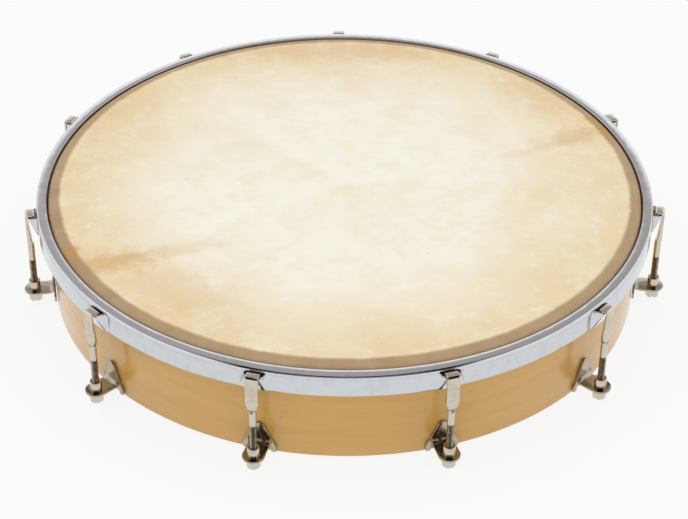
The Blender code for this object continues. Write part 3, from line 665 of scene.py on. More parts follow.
def hide_material():
    """Goat rawhide, limed, scraped and dried flat: cloudy, and so thin that the wood shows as a ring, which
    is also painted darker as the shade where no light shines through the hide.
    """
    colours = settings("hide")
    material, tree, shader = new_material("Goat rawhide")
    place = add_node(tree, "ShaderNodeTexCoord").outputs["Object"]
    level = add_node(tree, "ShaderNodeVectorMath", {0: place, 1: (1.0, 1.0, 0.0)}, operation="MULTIPLY")
    flat = level.outputs["Vector"]
    radius = add_node(tree, "ShaderNodeVectorMath", {0: flat}, operation="LENGTH").outputs["Value"]
    # Broad clouds of thicker skin, the mottle and fibres of the grain side, and the ragged edge of a stain
    broad = clouds(tree, flat, 80 * MM)
    film = clouds(tree, flat, 26 * MM, 4.0, 0.6)
    mottle = clouds(tree, flat, 15 * MM, 6.0, 0.65)
    ragged = clouds(tree, flat, 12 * MM, 5.0, 0.6)
    fibre = clouds(tree, flat, 9 * MM, 5.0, 0.6, (3.0, 0.7, 1.0))
    flakes = clouds(tree, flat, 5 * MM, 3.0, 0.6)
    # The rim dries thicker and warmer than the middle
    layers = [
        (colours.warm, wandering(tree, radius, broad, 16 * MM), 84 * MM, 194 * MM, 0.85),
        (colours.warm, broad, 0.46, 0.74, 0.20),
        (colours.warm, mottle, 0.50, 0.78, 0.22),
        (linear("#F0E9C6"), film, 0.44, 0.66, 0.45),
        (linear("#FCFAF0"), mottle, 0.48, 0.28, 0.38),
        (linear("#FBF8EC"), flakes, 0.58, 0.70, 0.34),
        (linear("#DDC093"), fibre, 0.55, 0.80, 0.16),
    ]
    layers += stain_layers(tree, flat, colours.stain, ragged, STAINS)
    # Hair roots left in the skin are about 0.3 mm across and are drawn about 1 mm across, so that they show
    roots = add_node(tree, "ShaderNodeTexVoronoi", {"Vector": flat, "Scale": 1 / (17 * MM)}, feature="F1")
    hairy = {"Value": clouds(tree, flat, 40 * MM), "From Min": 0.50, "From Max": 0.62, "To Max": 0.5}
    hair_strength = add_node(tree, "ShaderNodeMapRange", hairy).outputs["Result"]
    layers.append((linear("#8C6E48"), roots.outputs["Distance"], 0.045, 0.022, hair_strength))
    # Where the hide lies on the frame the wood shows through, a little unevenly; the ring is also painted
    # shade, as no light shines up through the hide there
    patches = clouds(tree, flat, 16 * MM, 4.0, 0.6)
    patchy = {"Value": patches, "From Min": 0.3, "From Max": 0.75, "To Min": 0.82}
    wood_and_shade_strength = add_node(tree, "ShaderNodeMapRange", patchy).outputs["Result"]
    wood_and_shade_start, wood_and_shade_full = FRAME_INNER_RADIUS - 0.8 * MM, FRAME_INNER_RADIUS + 2.2 * MM
    edge = wandering(tree, radius, mottle, 0.5 * MM)
    layers.append((colours.over_wood_and_shade, edge, wood_and_shade_start, wood_and_shade_full, wood_and_shade_strength))
    layers += stain_layers(tree, flat, colours.stain, ragged, SPOTS)
    grain = clouds(tree, flat, 1.6 * MM)
    pores = add_node(tree, "ShaderNodeMath", {0: mottle, 1: grain}, operation="ADD").outputs["Value"]
    relief = add_node(tree, "ShaderNodeBump", {"Height": pores, "Distance": 0.12 * MM, "Strength": 0.6})
    sheen = {"Value": mottle, **MOST_CLOUDS, "To Min": 0.46, "To Max": 0.60}
    surface = {
        "Base Color": layered(tree, colours.centre, layers),
        "Roughness": add_node(tree, "ShaderNodeMapRange", sheen).outputs["Result"],
        "IOR": 1.45,
        "Specular IOR Level": 0.3,
        "Normal": relief.outputs["Normal"],
    }
    set_inputs(tree, shader, surface)
    return material


def lap_material():
    """The same rawhide where it is lapped: thicker and dull, and painted dark brown as the shade it lies in
    inside the counter hoop.
    """
    material, tree, shader = new_material("Lapped rawhide")
    place = add_node(tree, "ShaderNodeTexCoord").outputs["Object"]
    lap = settings("hide").lap
    # Painted shade: in its darkest patches it keeps about half of its light
    shade_share = 0.55
    shaded_lap = tuple(channel * shade_share for channel in lap)
    colour = layered(tree, lap, [(shaded_lap, clouds(tree, place, 9 * MM, 4.0, 0.6), 0.3, 0.7, 1.0)])
    wrinkles = clouds(tree, place, 2.5 * MM)
    relief = add_node(tree, "ShaderNodeBump", {"Height": wrinkles, "Distance": 0.15 * MM})
    set_inputs(tree, shader, {"Base Color": colour, "Roughness": 0.65, "Normal": relief.outputs["Normal"]})
    return material


def round_place(tree):
    """The place on a ring as metres along it, outwards and up, and the distance outwards by itself.

    The ring's ends meet at the back of the drum.
    """
    place = add_node(tree, "ShaderNodeTexCoord").outputs["Object"]
    parts = add_node(tree, "ShaderNodeSeparateXYZ", {0: place})
    front = add_node(tree, "ShaderNodeMath", {0: parts.outputs["Y"], 1: -1.0}, operation="MULTIPLY")
    bearing = {0: parts.outputs["X"], 1: front.outputs["Value"]}
    angle = add_node(tree, "ShaderNodeMath", bearing, operation="ARCTAN2")
    arc_length = {0: angle.outputs["Value"], 1: FRAME_OUTER_RADIUS}
    along = add_node(tree, "ShaderNodeMath", arc_length, operation="MULTIPLY").outputs["Value"]
    flat = add_node(tree, "ShaderNodeCombineXYZ", {"X": parts.outputs["X"], "Y": parts.outputs["Y"]})
    distance = add_node(tree, "ShaderNodeVectorMath", {0: flat.outputs["Vector"]}, operation="LENGTH")
    out = distance.outputs["Value"]
    joined = add_node(tree, "ShaderNodeCombineXYZ", {"X": along, "Y": out, "Z": parts.outputs["Z"]})
    return joined.outputs["Vector"], out


def veneer_material():
    """Beech veneer, rotary cut, sanded and lacquered: long soft streaks round the frame, and short flecks."""
    colours = settings("frame")
    material, tree, shader = new_material("Lacquered beech veneer")
    place, _ = round_place(tree)
    # A cloud holds one light and one dark streak
    streaks = clouds(tree, place, colours.grain_spacing * 2, 5.0, 0.6, (26.0, 1.0, 1.6))
    broad = clouds(tree, place, 34 * MM, 3.0, 0.5, (3.5, 1.0, 0.8))
    # Medullary flecks are 0.3 mm wide and are drawn 0.7 mm wide, so that they show
    flecks = clouds(tree, place, 1.1 * MM, 1.0, 0.4, (4.5, 1.0, 1.0))
    # A few pin knots, about 2.5 mm across
    knots = add_node(tree, "ShaderNodeTexVoronoi", {"Vector": place, "Scale": 1 / (62 * MM)}, feature="F1")
    layers = [
        (colours.grain, streaks, 0.38, 0.70, 0.26),
        (colours.grain, broad, 0.40, 0.72, 0.34),
        (linear("#8E6230"), flecks, 0.70, 0.78, 0.22),
        (linear("#7A5228"), knots.outputs["Distance"], 0.030, 0.012, 0.55),
    ]
    relief = add_node(tree, "ShaderNodeBump", {"Height": streaks, "Distance": 0.06 * MM, "Strength": 0.6})
    sheen = {"Value": streaks, **MOST_CLOUDS, "To Min": 0.34, "To Max": 0.46}
    surface = {
        "Base Color": layered(tree, colours.veneer, layers),
        "Roughness": add_node(tree, "ShaderNodeMapRange", sheen).outputs["Result"],
        "Specular IOR Level": 0.4,
        "Coat Weight": 0.8,
        "Coat Roughness": 0.14,
        "Normal": relief.outputs["Normal"],
    }
    set_inputs(tree, shader, surface)
    return material


def ply_edge_material():
    """The sawn and sanded edge of beech ply: light and dark plies, by turns face grain and end grain."""
    colours = settings("frame")
    material, tree, shader = new_material("Beech ply edge")
    place, out = round_place(tree)
    wall = add_node(tree, "ShaderNodeMath", {0: out, 1: FRAME_INNER_RADIUS}, operation="SUBTRACT")
    depth = {0: wall.outputs["Value"], 1: colours.ply_thickness}
    plies = add_node(tree, "ShaderNodeMath", depth, operation="DIVIDE").outputs["Value"]
    # The plies repeat in pairs, one light and one dark
    ply = add_node(tree, "ShaderNodeMath", {0: plies, 1: 2.0}, operation="MODULO").outputs["Value"]
    grain = clouds(tree, place, 1.5 * MM, 4.0, 0.6, (9.0, 1.0, 1.0))
    strength = add_node(tree, "ShaderNodeMapRange", {"Value": grain, **MOST_CLOUDS, "To Min": 0.65})
    core_layer = (colours.core, ply, 0.94, 1.06, strength.outputs["Result"])
    colour = layered(tree, colours.veneer, [core_layer])
    relief = add_node(tree, "ShaderNodeBump", {"Height": grain, "Distance": 0.05 * MM})
    set_inputs(tree, shader, {"Base Color": colour, "Roughness": 0.6, "Normal": relief.outputs["Normal"]})
    return material


def plated_material(name, colour, dull_patch_colour, dull_patch_strength, roughness, wave_height):
    """Plated steel sheet or wire: a mirror with the shallow waves of pressing, scuffs and dull patches. On
    the brackets the darker patches are painted shade.
    """
    if name in bpy.data.materials:
        return bpy.data.materials[name]
    material, tree, shader = new_material(name)
    place = add_node(tree, "ShaderNodeTexCoord").outputs["Object"]
    patches = clouds(tree, place, 7 * MM, 4.0, 0.6)
    dull_start, dull_full = 0.46, 0.72
    dull_roughness = roughness * 1.8
    dull = {"Value": patches, "From Min": dull_start, "From Max": dull_full}
    scuffed = add_node(tree, "ShaderNodeMapRange", {**dull, "To Min": roughness, "To Max": dull_roughness})
    waves = clouds(tree, place, settings("metal").wave, 2.0, 0.4)
    relief = add_node(tree, "ShaderNodeBump", {"Height": waves, "Distance": wave_height})
    surface = {
        "Base Color": layered(tree, colour, [(dull_patch_colour, patches, dull_start, dull_full, dull_patch_strength)]),
        "Metallic": 1.0,
        "Roughness": scuffed.outputs["Result"],
        "Normal": relief.outputs["Normal"],
    }
    set_inputs(tree, shader, surface)
    return material


def chrome_material():
    """Bright chrome on pressed steel: cool and almost colourless."""
    chrome = settings("metal").chrome
    return plated_material("Bright chrome plate", chrome, linear("#B9BBB8"), 0.25, 0.07, 0.10 * MM)


def nickel_material():
    """Nickel on rolled and turned steel: warmer than chrome, slightly dulled, browner where it is handled."""
    nickel = settings("metal").nickel
    return plated_material("Dulled nickel plate", nickel, linear("#9C8668"), 0.22, 0.13, 0.08 * MM)


def shaded_nickel_material():
    """The same nickel on the brackets, painted browner and less bright as shade, its dull patches darker
    still.
    """
    nickel = settings("metal").shaded_nickel
    # Painted shade: a darker, browner copy of the hooks' nickel, with strong dark patches
    return plated_material("Handled nickel plate", nickel, linear("#77624A"), 0.5, 0.15, 0.10 * MM)


def zinc_material():
    """Zinc plate, passivated: a soft grey that shows no clear reflection."""
    zinc = settings("metal").zinc
    return plated_material("Zinc plate", zinc, linear("#8C8F91"), 0.6, 0.38, 0.05 * MM)


def thread_and_notch_shade_material():
    """Rolled screw thread, nickel plated thin and left oily: dull and dark with grime. In the hook's notch
    the same dark colour is painted shade.
    """
    material, tree, shader = new_material("Oily rolled thread and notch shade")
    place = add_node(tree, "ShaderNodeTexCoord").outputs["Object"]
    grime = clouds(tree, place, 1.2 * MM, 4.0, 0.6)
    colour = layered(tree, settings("metal").thread, [(linear("#74675A"), grime, 0.35, 0.7, 1.0)])
    set_inputs(tree, shader, {"Base Color": colour, "Metallic": 1.0, "Roughness": 0.38})
    return material


def table_material():
    """The light table's opal acrylic, lit from below: matt, even and almost without shadow."""
    stage = settings("stage")
    material, tree, shader = new_material("Opal acrylic light table")
    surface = {
        "Base Color": stage.floor,
        "Roughness": 1.0,
        "Specular IOR Level": 0.0,
        "Emission Color": (1.0, 1.0, 1.0),
        "Emission Strength": stage.table_glow,
    }
    set_inputs(tree, shader, surface)
    return material


# Ply frame


def ply_frame_mesh():
    """The frame, with its walls in its first material, the veneer, and its edges in its second."""
    outline = rounded(
        [
            (FRAME_INNER_RADIUS + CROWN_CHAMFER, FRAME_TOP_Z, CROWN_EDGE_ROUNDING),
            (CROWN_END_RADIUS, FRAME_TOP_Z, 0.0),
            *kept(arc(SHOULDER_CENTRE, SHOULDER_RADIUS, SHOULDER_START_ANGLE, 0, steps=6)),
            (FRAME_OUTER_RADIUS, FRAME_BOTTOM_Z, RIM_CHAMFER),
            (FRAME_INNER_RADIUS, FRAME_BOTTOM_Z, RIM_CHAMFER),
            (FRAME_INNER_RADIUS, FRAME_TOP_Z - CROWN_CHAMFER, CROWN_EDGE_ROUNDING),
        ],
        0.0,
        steps=5,
    )
    hole = bar(
        "stud_hole",
        STUD_RADIUS + SEAT_GAP,
        (FRAME_INNER_RADIUS - CUT_MARGIN, 0.0, STUD_Z),
        (FRAME_OUTER_RADIUS + CUT_MARGIN, 0.0, STUD_Z),
    )
    mesh = combined("ply_frame", turned("ply_frame", outline), round_the_lugs(hole), "DIFFERENCE")
    for face in mesh.polygons:
        radius = face.center.xy.length
        on_a_wall = min(FRAME_OUTER_RADIUS - radius, radius - FRAME_INNER_RADIUS) < WALL_TOLERANCE
        face.material_index = 0 if on_a_wall else 1
    return mesh


class DRUM_OT_frame(bpy.types.Operator):
    """Makes the bent ply frame"""

    bl_idname = "drum.frame"
    bl_label = "Ply frame"

    def execute(self, context):
        materials = [veneer_material(), ply_edge_material()]
        show("ply_frame", ply_frame_mesh(), materials, "frame_shell", "frame")
        return {"FINISHED"}


# Hide


def hide_mesh():
    """The hide from its middle, over the bearing edge and down the collar to the flesh hoop's underside."""
    face_z = -HIDE_THICKNESS / 2
    collar_top_z = SHOULDER_CENTRE[1]
    collar_bottom_z = LAP_BOTTOM_Z + HIDE_THICKNESS / 2
    mid_radius = SHOULDER_RADIUS + SEAT_GAP + HIDE_THICKNESS / 2
    path = kept([(CROWN_END_RADIUS * share, face_z) for share in FACE_SHARES])
    path += kept(arc(SHOULDER_CENTRE, mid_radius, SHOULDER_START_ANGLE, 0, steps=7))
    collar_heights = [between(collar_top_z, collar_bottom_z, share) for share in COLLAR_SHARES]
    path += kept([(COLLAR_MID_RADIUS, height) for height in collar_heights])
    path += [(COLLAR_MID_RADIUS, collar_bottom_z, LAP_CORNER), (HIDE_JOIN_RADIUS, collar_bottom_z, 0.0)]
    outline = strip(rounded(path, 0.0, steps=4, closed=False), HIDE_THICKNESS)
    # The strip starts on the axis and mustn't cross it
    outline = [(max(radius, 0.0), height) for radius, height in outline]
    return turned("hide", outline)


def lap_mesh():
    """The hide's edge: out under the flesh hoop, up its outside, over it and down beside the collar."""
    half = HIDE_THICKNESS / 2
    path = rounded(
        [
            (HIDE_JOIN_RADIUS, LAP_BOTTOM_Z + half),
            (LAP_OUTER_RADIUS - half, LAP_BOTTOM_Z + half),
            (LAP_OUTER_RADIUS - half, LAP_TOP_Z - half),
            (LAP_INNER_RADIUS + half, LAP_TOP_Z - half),
            (LAP_INNER_RADIUS + half, TUCK_END_Z),
        ],
        LAP_CORNER,
        steps=4,
        closed=False,
    )
    return turned("hide_lap", strip(path, HIDE_THICKNESS))


class DRUM_OT_hide(bpy.types.Operator):
    """Makes the hide and its lapped edge"""

    bl_idname = "drum.hide"
    bl_label = "Hide"

    def execute(self, context):
        hide = show("hide", hide_mesh(), [hide_material()], "skin_membrane")
        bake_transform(hide)
        show("hide_lap", lap_mesh(), [lap_material()], "skin_lap", "hoop")
        return {"FINISHED"}


# Hoops


def ramp_down(along, start, end):
    """1 up to start, 0 past end, and between them a slope that is eased a little at both ends."""
    share = share_between(abs(along), end, start)
    return (share + smooth(share)) / 2


def ear_profile(along):
    """How far the band is pressed out at the slit, the ridge and the foot, and how high the ridge runs."""
    slope = ramp_down(along, EAR_SEAT_HALF_WIDTH, EAR_HALF_LENGTH)
    top = EAR_REACH * ramp_down(along, EAR_SEAT_HALF_WIDTH, SLIT_HALF_LENGTH)
    ridge = between(EAR_FOOT_REACH, EAR_REACH, RIDGE_HIGH_SHARE) * slope
    share = between(RIDGE_LOW_SHARE, RIDGE_HIGH_SHARE, slope)
    return Vector((top, ridge, EAR_FOOT_REACH * slope, share))


def hoop_section(along):
    """The counter hoop's section at this distance from a lug's middle, its pressed folds slightly rounded."""
    profiles = [ear_profile(along + share * EAR_ROUNDING) for share in EAR_ROUNDING_SHARES]
    top, ridge, foot, ridge_share = (sum(values) / len(profiles) for values in zip(*profiles))
    # The wall keeps its thickness where it runs outwards, so its inner side lies nearer to the lug's middle
    inner_top, inner_ridge, inner_foot, _ = ear_profile(abs(along) + EAR_WALL)
    shear_high = SLIT_TOP_Z - SLIT_HEIGHT * SHEAR_HIGH_SHARE
    shear_low = SLIT_TOP_Z - SLIT_HEIGHT * SHEAR_LOW_SHARE
    ridge_z = between(HOOP_BOTTOM_Z, shear_low, ridge_share)
    bend_centre = (BAND_OUTER_RADIUS - HOOP_BEND_WIDTH, HOOP_TOP_Z - HOOP_BEND_HEIGHT)
    return rounded(
        [
            (FLANGE_INNER_RADIUS, HOOP_TOP_Z),
            *kept(ellipse(bend_centre, HOOP_BEND_WIDTH, HOOP_BEND_HEIGHT, 90, 0, steps=12)),
            (BAND_OUTER_RADIUS, shear_high, 0.0),
            (BAND_OUTER_RADIUS + top, shear_low, 0.0),
            (BAND_OUTER_RADIUS + ridge, ridge_z),
            (BAND_OUTER_RADIUS + foot, HOOP_BOTTOM_Z, LIP_ROUNDING),
            (BAND_INNER_RADIUS + inner_foot, HOOP_BOTTOM_Z, INNER_LIP_ROUNDING),
            (BAND_INNER_RADIUS + inner_ridge, ridge_z),
            (BAND_INNER_RADIUS + inner_top, shear_low, 0.0),
            (BAND_INNER_RADIUS, shear_high, 0.0),
            (BAND_INNER_RADIUS, HOOP_TOP_Z - HOOP_SHEET),
            (FLANGE_INNER_RADIUS, HOOP_TOP_Z - HOOP_SHEET),
        ],
        EDGE_ROUNDING,
    )


def hoop_stations():
    """(angle, distance from the nearest lug's middle) of each section round the hoop."""
    half = EAR_HALF_LENGTH + EAR_ROUNDING
    ear_steps = round(2 * half / EAR_STATION)
    plain_arc = math.tau / LUG_COUNT - 2 * half / BAND_OUTER_RADIUS
    plain_steps = round(plain_arc * BAND_OUTER_RADIUS / BAND_STATION)
    stations = []
    for lug_angle in LUG_ANGLES:
        for step in range(ear_steps + 1):
            along = -half + 2 * half * step / ear_steps
            stations.append((lug_angle + along / BAND_OUTER_RADIUS, along))
        for step in range(1, plain_steps):
            stations.append((lug_angle + half / BAND_OUTER_RADIUS + plain_arc * step / plain_steps, half))
    return stations


def counter_hoop_mesh():
    sections = []
    for angle, along in hoop_stations():
        turn = Matrix.Rotation(angle, 3, "Z")
        sections.append([turn @ Vector((radius, 0.0, height)) for radius, height in hoop_section(along)])
    half_length = SLIT_HALF_LENGTH - SLIT_END_INSET
    slit = block(
        "slit",
        (BAND_INNER_RADIUS - CUT_MARGIN, -half_length, EAR_TOP_Z),
        (EAR_OUTER_RADIUS + CUT_MARGIN, half_length, SLIT_TOP_Z),
    )
    return combined("rim_hoop", lofted("rim_hoop", sections, True), round_the_lugs(slit), "DIFFERENCE")


def flesh_hoop_mesh():
    low, high = lowest("flesh_hoop"), highest("flesh_hoop")
    inner, outer = LAP_INNER_RADIUS + HIDE_THICKNESS + SEAT_GAP, furthest_back("flesh_hoop")
    corners = [(inner, high), (outer, high), (outer, low), (inner, low)]
    return turned("flesh_ring", rounded(corners, FLESH_HOOP_CORNER))


class DRUM_OT_hoops(bpy.types.Operator):
    """Makes the counter hoop and the flesh hoop"""

    bl_idname = "drum.hoops"
    bl_label = "Hoops"

    def execute(self, context):
        show("rim_hoop", counter_hoop_mesh(), [chrome_material()], "counter_hoop", "hoop")
        show("flesh_ring", flesh_hoop_mesh(), [zinc_material()], "flesh_hoop", "hoop")
        return {"FINISHED"}


# Tension hooks


def hook_section(centre, lean, half_breadth, half_thickness, exponent):
    """Points across the hook, round at exponent 2 and a flat strap with rounded corners at a high one."""
    middle = Vector((centre[0], 0.0, centre[1]))
    across = Vector((math.cos(lean), 0.0, math.sin(lean)))
    points = []
    for corner in range(HOOK_POINTS):
        angle = math.tau * corner / HOOK_POINTS
        side = math.copysign(abs(math.cos(angle)) ** (2 / exponent), math.cos(angle))
        out = math.copysign(abs(math.sin(angle)) ** (2 / exponent), math.sin(angle))
        points.append(middle + across * out * half_thickness + Vector((0.0, side * half_breadth, 0.0)))
    return points


def thread_section(height):
    """Points round the screw at this height. The crest climbs anticlockwise, as on a right-hand thread."""
    turns_from_ends = min(height - ROD_END_Z, THREAD_TOP_Z - height) / THREAD_PITCH
    depth = THREAD_DEPTH * smooth(turns_from_ends / THREAD_RUN_OUT_TURNS)
    entry = THREAD_ENTRY * smooth(1 - (height - ROD_END_Z) / THREAD_PITCH)
    points = []
    # As in the strap's sections, the points run clockwise, from the side round towards the outside
    for corner in range(HOOK_POINTS):
        turn = corner / HOOK_POINTS
        crest = math.cos(math.tau * (height / THREAD_PITCH + turn))
        radius = ROD_RADIUS - entry - depth * (0.5 - 0.5 * crest)
        angle = math.tau * turn
        points.append(Vector((ROD_AXIS_RADIUS + radius * math.sin(angle), radius * math.cos(angle), height)))
    return points


def strap_section(height):
    """Points across the hook above its screw, where it widens and flattens, and then thins up to the ear."""
    widening = 1 - (1 - share_between(height, ROD_TOP_Z, TAPER_TOP_Z)) ** TAPER_EXPONENT
    flattening = smooth(share_between(height, ROD_TOP_Z, STRAP_FOOT_Z))
    thinning = share_between(height, STRAP_FOOT_Z, EAR_TOP_Z)
    foot = between(ROD_RADIUS, STRAP_FOOT_THICKNESS / 2, flattening)
    half_thickness = foot + (STRAP_THICKNESS - STRAP_FOOT_THICKNESS) / 2 * thinning
    half_breadth = between(ROD_RADIUS, STRAP_HALF_WIDTH, widening)
    exponent = between(ROUND_EXPONENT, FLAT_EXPONENT, flattening)
    centre = (STRAP_OUTER_RADIUS - half_thickness, height)
    return hook_section(centre, 0.0, half_breadth, half_thickness, exponent)


def bend_sections(centre, first, last):
    """The strap's sections round one half of its bend over the ear, between two angles in degrees."""
    sections = []
    for step, point in enumerate(arc(centre, HOOK_BEND_MID_RADIUS, first, last, HOOK_BEND_STEPS)):
        lean = math.radians(first + (last - first) * step / HOOK_BEND_STEPS)
        sections.append(hook_section(point, lean, STRAP_HALF_WIDTH, STRAP_THICKNESS / 2, FLAT_EXPONENT))
    return sections


def in_notch(point):
    """Whether a point of the hook's outer face lies in the pressed V where the rolled strap begins."""
    rise = (point.z - NOTCH_TOP_Z + NOTCH_HEIGHT) / NOTCH_HEIGHT
    return point.x > ROD_AXIS_RADIUS + NOTCH_DEPTH and 0 < rise < 1 and abs(point.y) < NOTCH_HALF_WIDTH * rise


def hook_mesh():
    """The hook in its lug's frame, from the screw's end up, over the ear and down behind it.

    Its first material is the plating. Its second is grime on the thread, and in the notch it is painted
    shade.
    """
    threaded = THREAD_TOP_Z - ROD_END_Z
    rows = round(threaded / THREAD_PITCH * THREAD_ROWS)
    sections = [thread_section(ROD_END_Z + threaded * row / rows) for row in range(rows + 1)]
    plain_middle = (ROD_AXIS_RADIUS, (THREAD_TOP_Z + ROD_TOP_Z) / 2)
    sections.append(hook_section(plain_middle, 0.0, ROD_RADIUS, ROD_RADIUS, ROUND_EXPONENT))
    start = NOTCH_TOP_Z - NOTCH_HEIGHT - NOTCH_MARGIN
    for step in range(STRAP_STEPS):
        # The sections lie closest together round the notch
        sections.append(strap_section(between(start, EAR_TOP_Z, (step / STRAP_STEPS) ** STRAP_STEP_EXPONENT)))
    outer_centre = (STRAP_OUTER_RADIUS - STRAP_THICKNESS / 2 - HOOK_BEND_MID_RADIUS, EAR_TOP_Z)
    inner_centre = (TIP_MID_RADIUS + HOOK_BEND_MID_RADIUS, EAR_TOP_Z)
    sections += bend_sections(outer_centre, 0, 90) + bend_sections(inner_centre, 90, 180)
    for drop_share, thickness_share in TIP_SECTIONS:
        place = (TIP_MID_RADIUS, EAR_TOP_Z - HOOK_TIP_LENGTH * drop_share)
        half_breadth = STRAP_HALF_WIDTH * (1 - TIP_NARROWING + TIP_NARROWING * thickness_share)
        half_thickness = STRAP_THICKNESS / 2 * thickness_share
        sections.append(hook_section(place, math.pi, half_breadth, half_thickness, FLAT_EXPONENT))
    mesh = lofted("hook", sections, False)
    for vertex in mesh.vertices:
        if in_notch(vertex.co):
            vertex.co.x -= NOTCH_DEPTH
    for face in mesh.polygons:
        # Painted shade: the notch takes the dark thread material
        grime_and_notch_shade = face.center.z < THREAD_TOP_Z - THREAD_PITCH / 2 or in_notch(face.center)
        face.material_index = 1 if grime_and_notch_shade else 0
    return mesh


class DRUM_OT_hooks(bpy.types.Operator):
    """Makes the tension hooks with their screw threads"""

    bl_idname = "drum.hooks"
    bl_label = "Tension hooks"

    def execute(self, context):
        materials = [nickel_material(), thread_and_notch_shade_material()]
        show_at_lugs("hook", hook_mesh(), materials, "tension_hook", "hoop")
        return {"FINISHED"}


# Brackets


def bracket_outline():
    """The bracket's sheet before its tongue is bent out, as (sideways, up) points."""
    apex = (0.0, PLATE_TOP_Z - PLATE_APEX_RADIUS)
    side_top_z = PLATE_BOTTOM_Z + PLATE_SIDE_HEIGHT
    run, rise = PLATE_HALF_WIDTH, apex[1] - side_top_z
    # The flank leaves the side's top and touches the apex's arc at this angle
    touch = math.degrees(math.acos(PLATE_APEX_RADIUS / math.hypot(run, rise)) - math.atan2(rise, run))
    relief_centre = (TONGUE_ROOT_HALF_WIDTH + RELIEF_WIDTH / 2, BEND_START_Z + RELIEF_RISE)
    tongue_end_z = BEND_START_Z - BEND_LENGTH - (ROD_AXIS_RADIUS - BEND_CENTRE_RADIUS)
    tongue_end = arc((0.0, tongue_end_z), TONGUE_HALF_WIDTH, -180, 0, steps=22)
    right_side = arc(relief_centre, RELIEF_WIDTH / 2, 180, 0, steps=6) + rounded(
        [
            (TONGUE_ROOT_HALF_WIDTH + RELIEF_WIDTH, BEND_START_Z),
            (TONGUE_ROOT_HALF_WIDTH + RELIEF_WIDTH, PLATE_BOTTOM_Z),
            (PLATE_HALF_WIDTH, PLATE_BOTTOM_Z),
            (PLATE_HALF_WIDTH, side_top_z),
            (PLATE_HALF_WIDTH * (1 - FLANK_SHARE), side_top_z + rise * FLANK_SHARE),
        ],
        PLATE_CORNER,
        steps=3,
        closed=False,
    )[1:-1]
    left_side = [(-x, y) for x, y in reversed(right_side)]
    return tongue_end + right_side + arc(apex, PLATE_APEX_RADIUS, touch, 180 - touch, steps=12) + left_side


def sheet_mesh(outline):
    """The flat outline as a sheet with rounded edges, standing against the frame."""
    curve = bpy.data.curves.new("sheet", "CURVE")
    curve.dimensions = "2D"
    curve.fill_mode = "BOTH"
    curve.extrude = BRACKET_SHEET / 2 - SHEET_EDGE_ROUNDING
    curve.bevel_depth = SHEET_EDGE_ROUNDING
    curve.bevel_resolution = 2
    curve.offset = -SHEET_EDGE_ROUNDING
    spline = curve.splines.new("POLY")
    spline.points.add(len(outline) - 1)
    for point, (x, y) in zip(spline.points, outline):
        point.co = (x, y, 0.0, 1.0)
    spline.use_cyclic_u = True
    obj = new_object("sheet", curve)
    # The curve's x runs along the frame, its y up, and its thickness out from the drum
    middle = PLATE_INNER_RADIUS + BRACKET_SHEET / 2
    obj.matrix_world = Matrix(((0, 0, 1, middle), (1, 0, 0, 0), (0, 1, 0, 0), (0, 0, 0, 1)))
    shape = bmesh.new()
    shape.from_mesh(evaluated_mesh(obj, "sheet"))
    return mesh_from(shape, "sheet")


def bend_the_tongue(mesh):
    """Bends the tongue of the flat bracket out from the drum, round the bend's centre."""
    shape = bmesh.new()
    shape.from_mesh(mesh)
    reach = TONGUE_ROOT_HALF_WIDTH + RELIEF_WIDTH * TONGUE_SHARE_OF_RELIEF
    for step in range(BEND_STEPS + 1):
        faces = [face for face in shape.faces if all(abs(vertex.co.y) < reach for vertex in face.verts)]
        edges = {edge for face in faces for edge in face.edges}
        bmesh.ops.bisect_plane(
            shape,
            geom=[*faces, *edges],
            plane_co=(0.0, 0.0, BEND_START_Z - BEND_LENGTH * step / BEND_STEPS),
            plane_no=(0.0, 0.0, 1.0),
        )
    for vertex in shape.verts:
        past_start = BEND_START_Z - vertex.co.z
        if past_start <= 0 or abs(vertex.co.y) > reach:
            continue
        angle = min(past_start / BEND_LENGTH, 1.0) * math.pi / 2
        from_centre = BEND_CENTRE_RADIUS - vertex.co.x
        straight = max(past_start - BEND_LENGTH, 0.0)
        vertex.co.x = BEND_CENTRE_RADIUS - from_centre * math.cos(angle) + straight
        vertex.co.z = BEND_START_Z - from_centre * math.sin(angle)
    return mesh_from(shape, "sheet")


def bracket_mesh():
    """The bracket in its lug's frame, with the stud that holds it welded to the back of its plate."""
    sheet = bend_the_tongue(sheet_mesh(bracket_outline()))
    stud_start = (STUD_END_RADIUS, 0.0, STUD_Z)
    stud = bar("stud", STUD_RADIUS, stud_start, (PLATE_INNER_RADIUS + BRACKET_SHEET / 2, 0.0, STUD_Z))
    nut_hole = bar(
        "nut_hole",
        SLEEVE_RADIUS + SEAT_GAP,
        (ROD_AXIS_RADIUS, 0.0, TONGUE_BOTTOM_Z - CUT_MARGIN),
        (ROD_AXIS_RADIUS, 0.0, TONGUE_TOP_Z + CUT_MARGIN),
    )
    return combined("bracket", combined("bracket", sheet, stud, "UNION"), nut_hole, "DIFFERENCE")


class DRUM_OT_brackets(bpy.types.Operator):
    """Makes the brackets that carry the nuts"""

    bl_idname = "drum.brackets"
    bl_label = "Brackets"

    def execute(self, context):
        materials = [shaded_nickel_material()]
        show_at_lugs("lug_plate", bracket_mesh(), materials, "bracket", "frame")
        return {"FINISHED"}


# Nuts


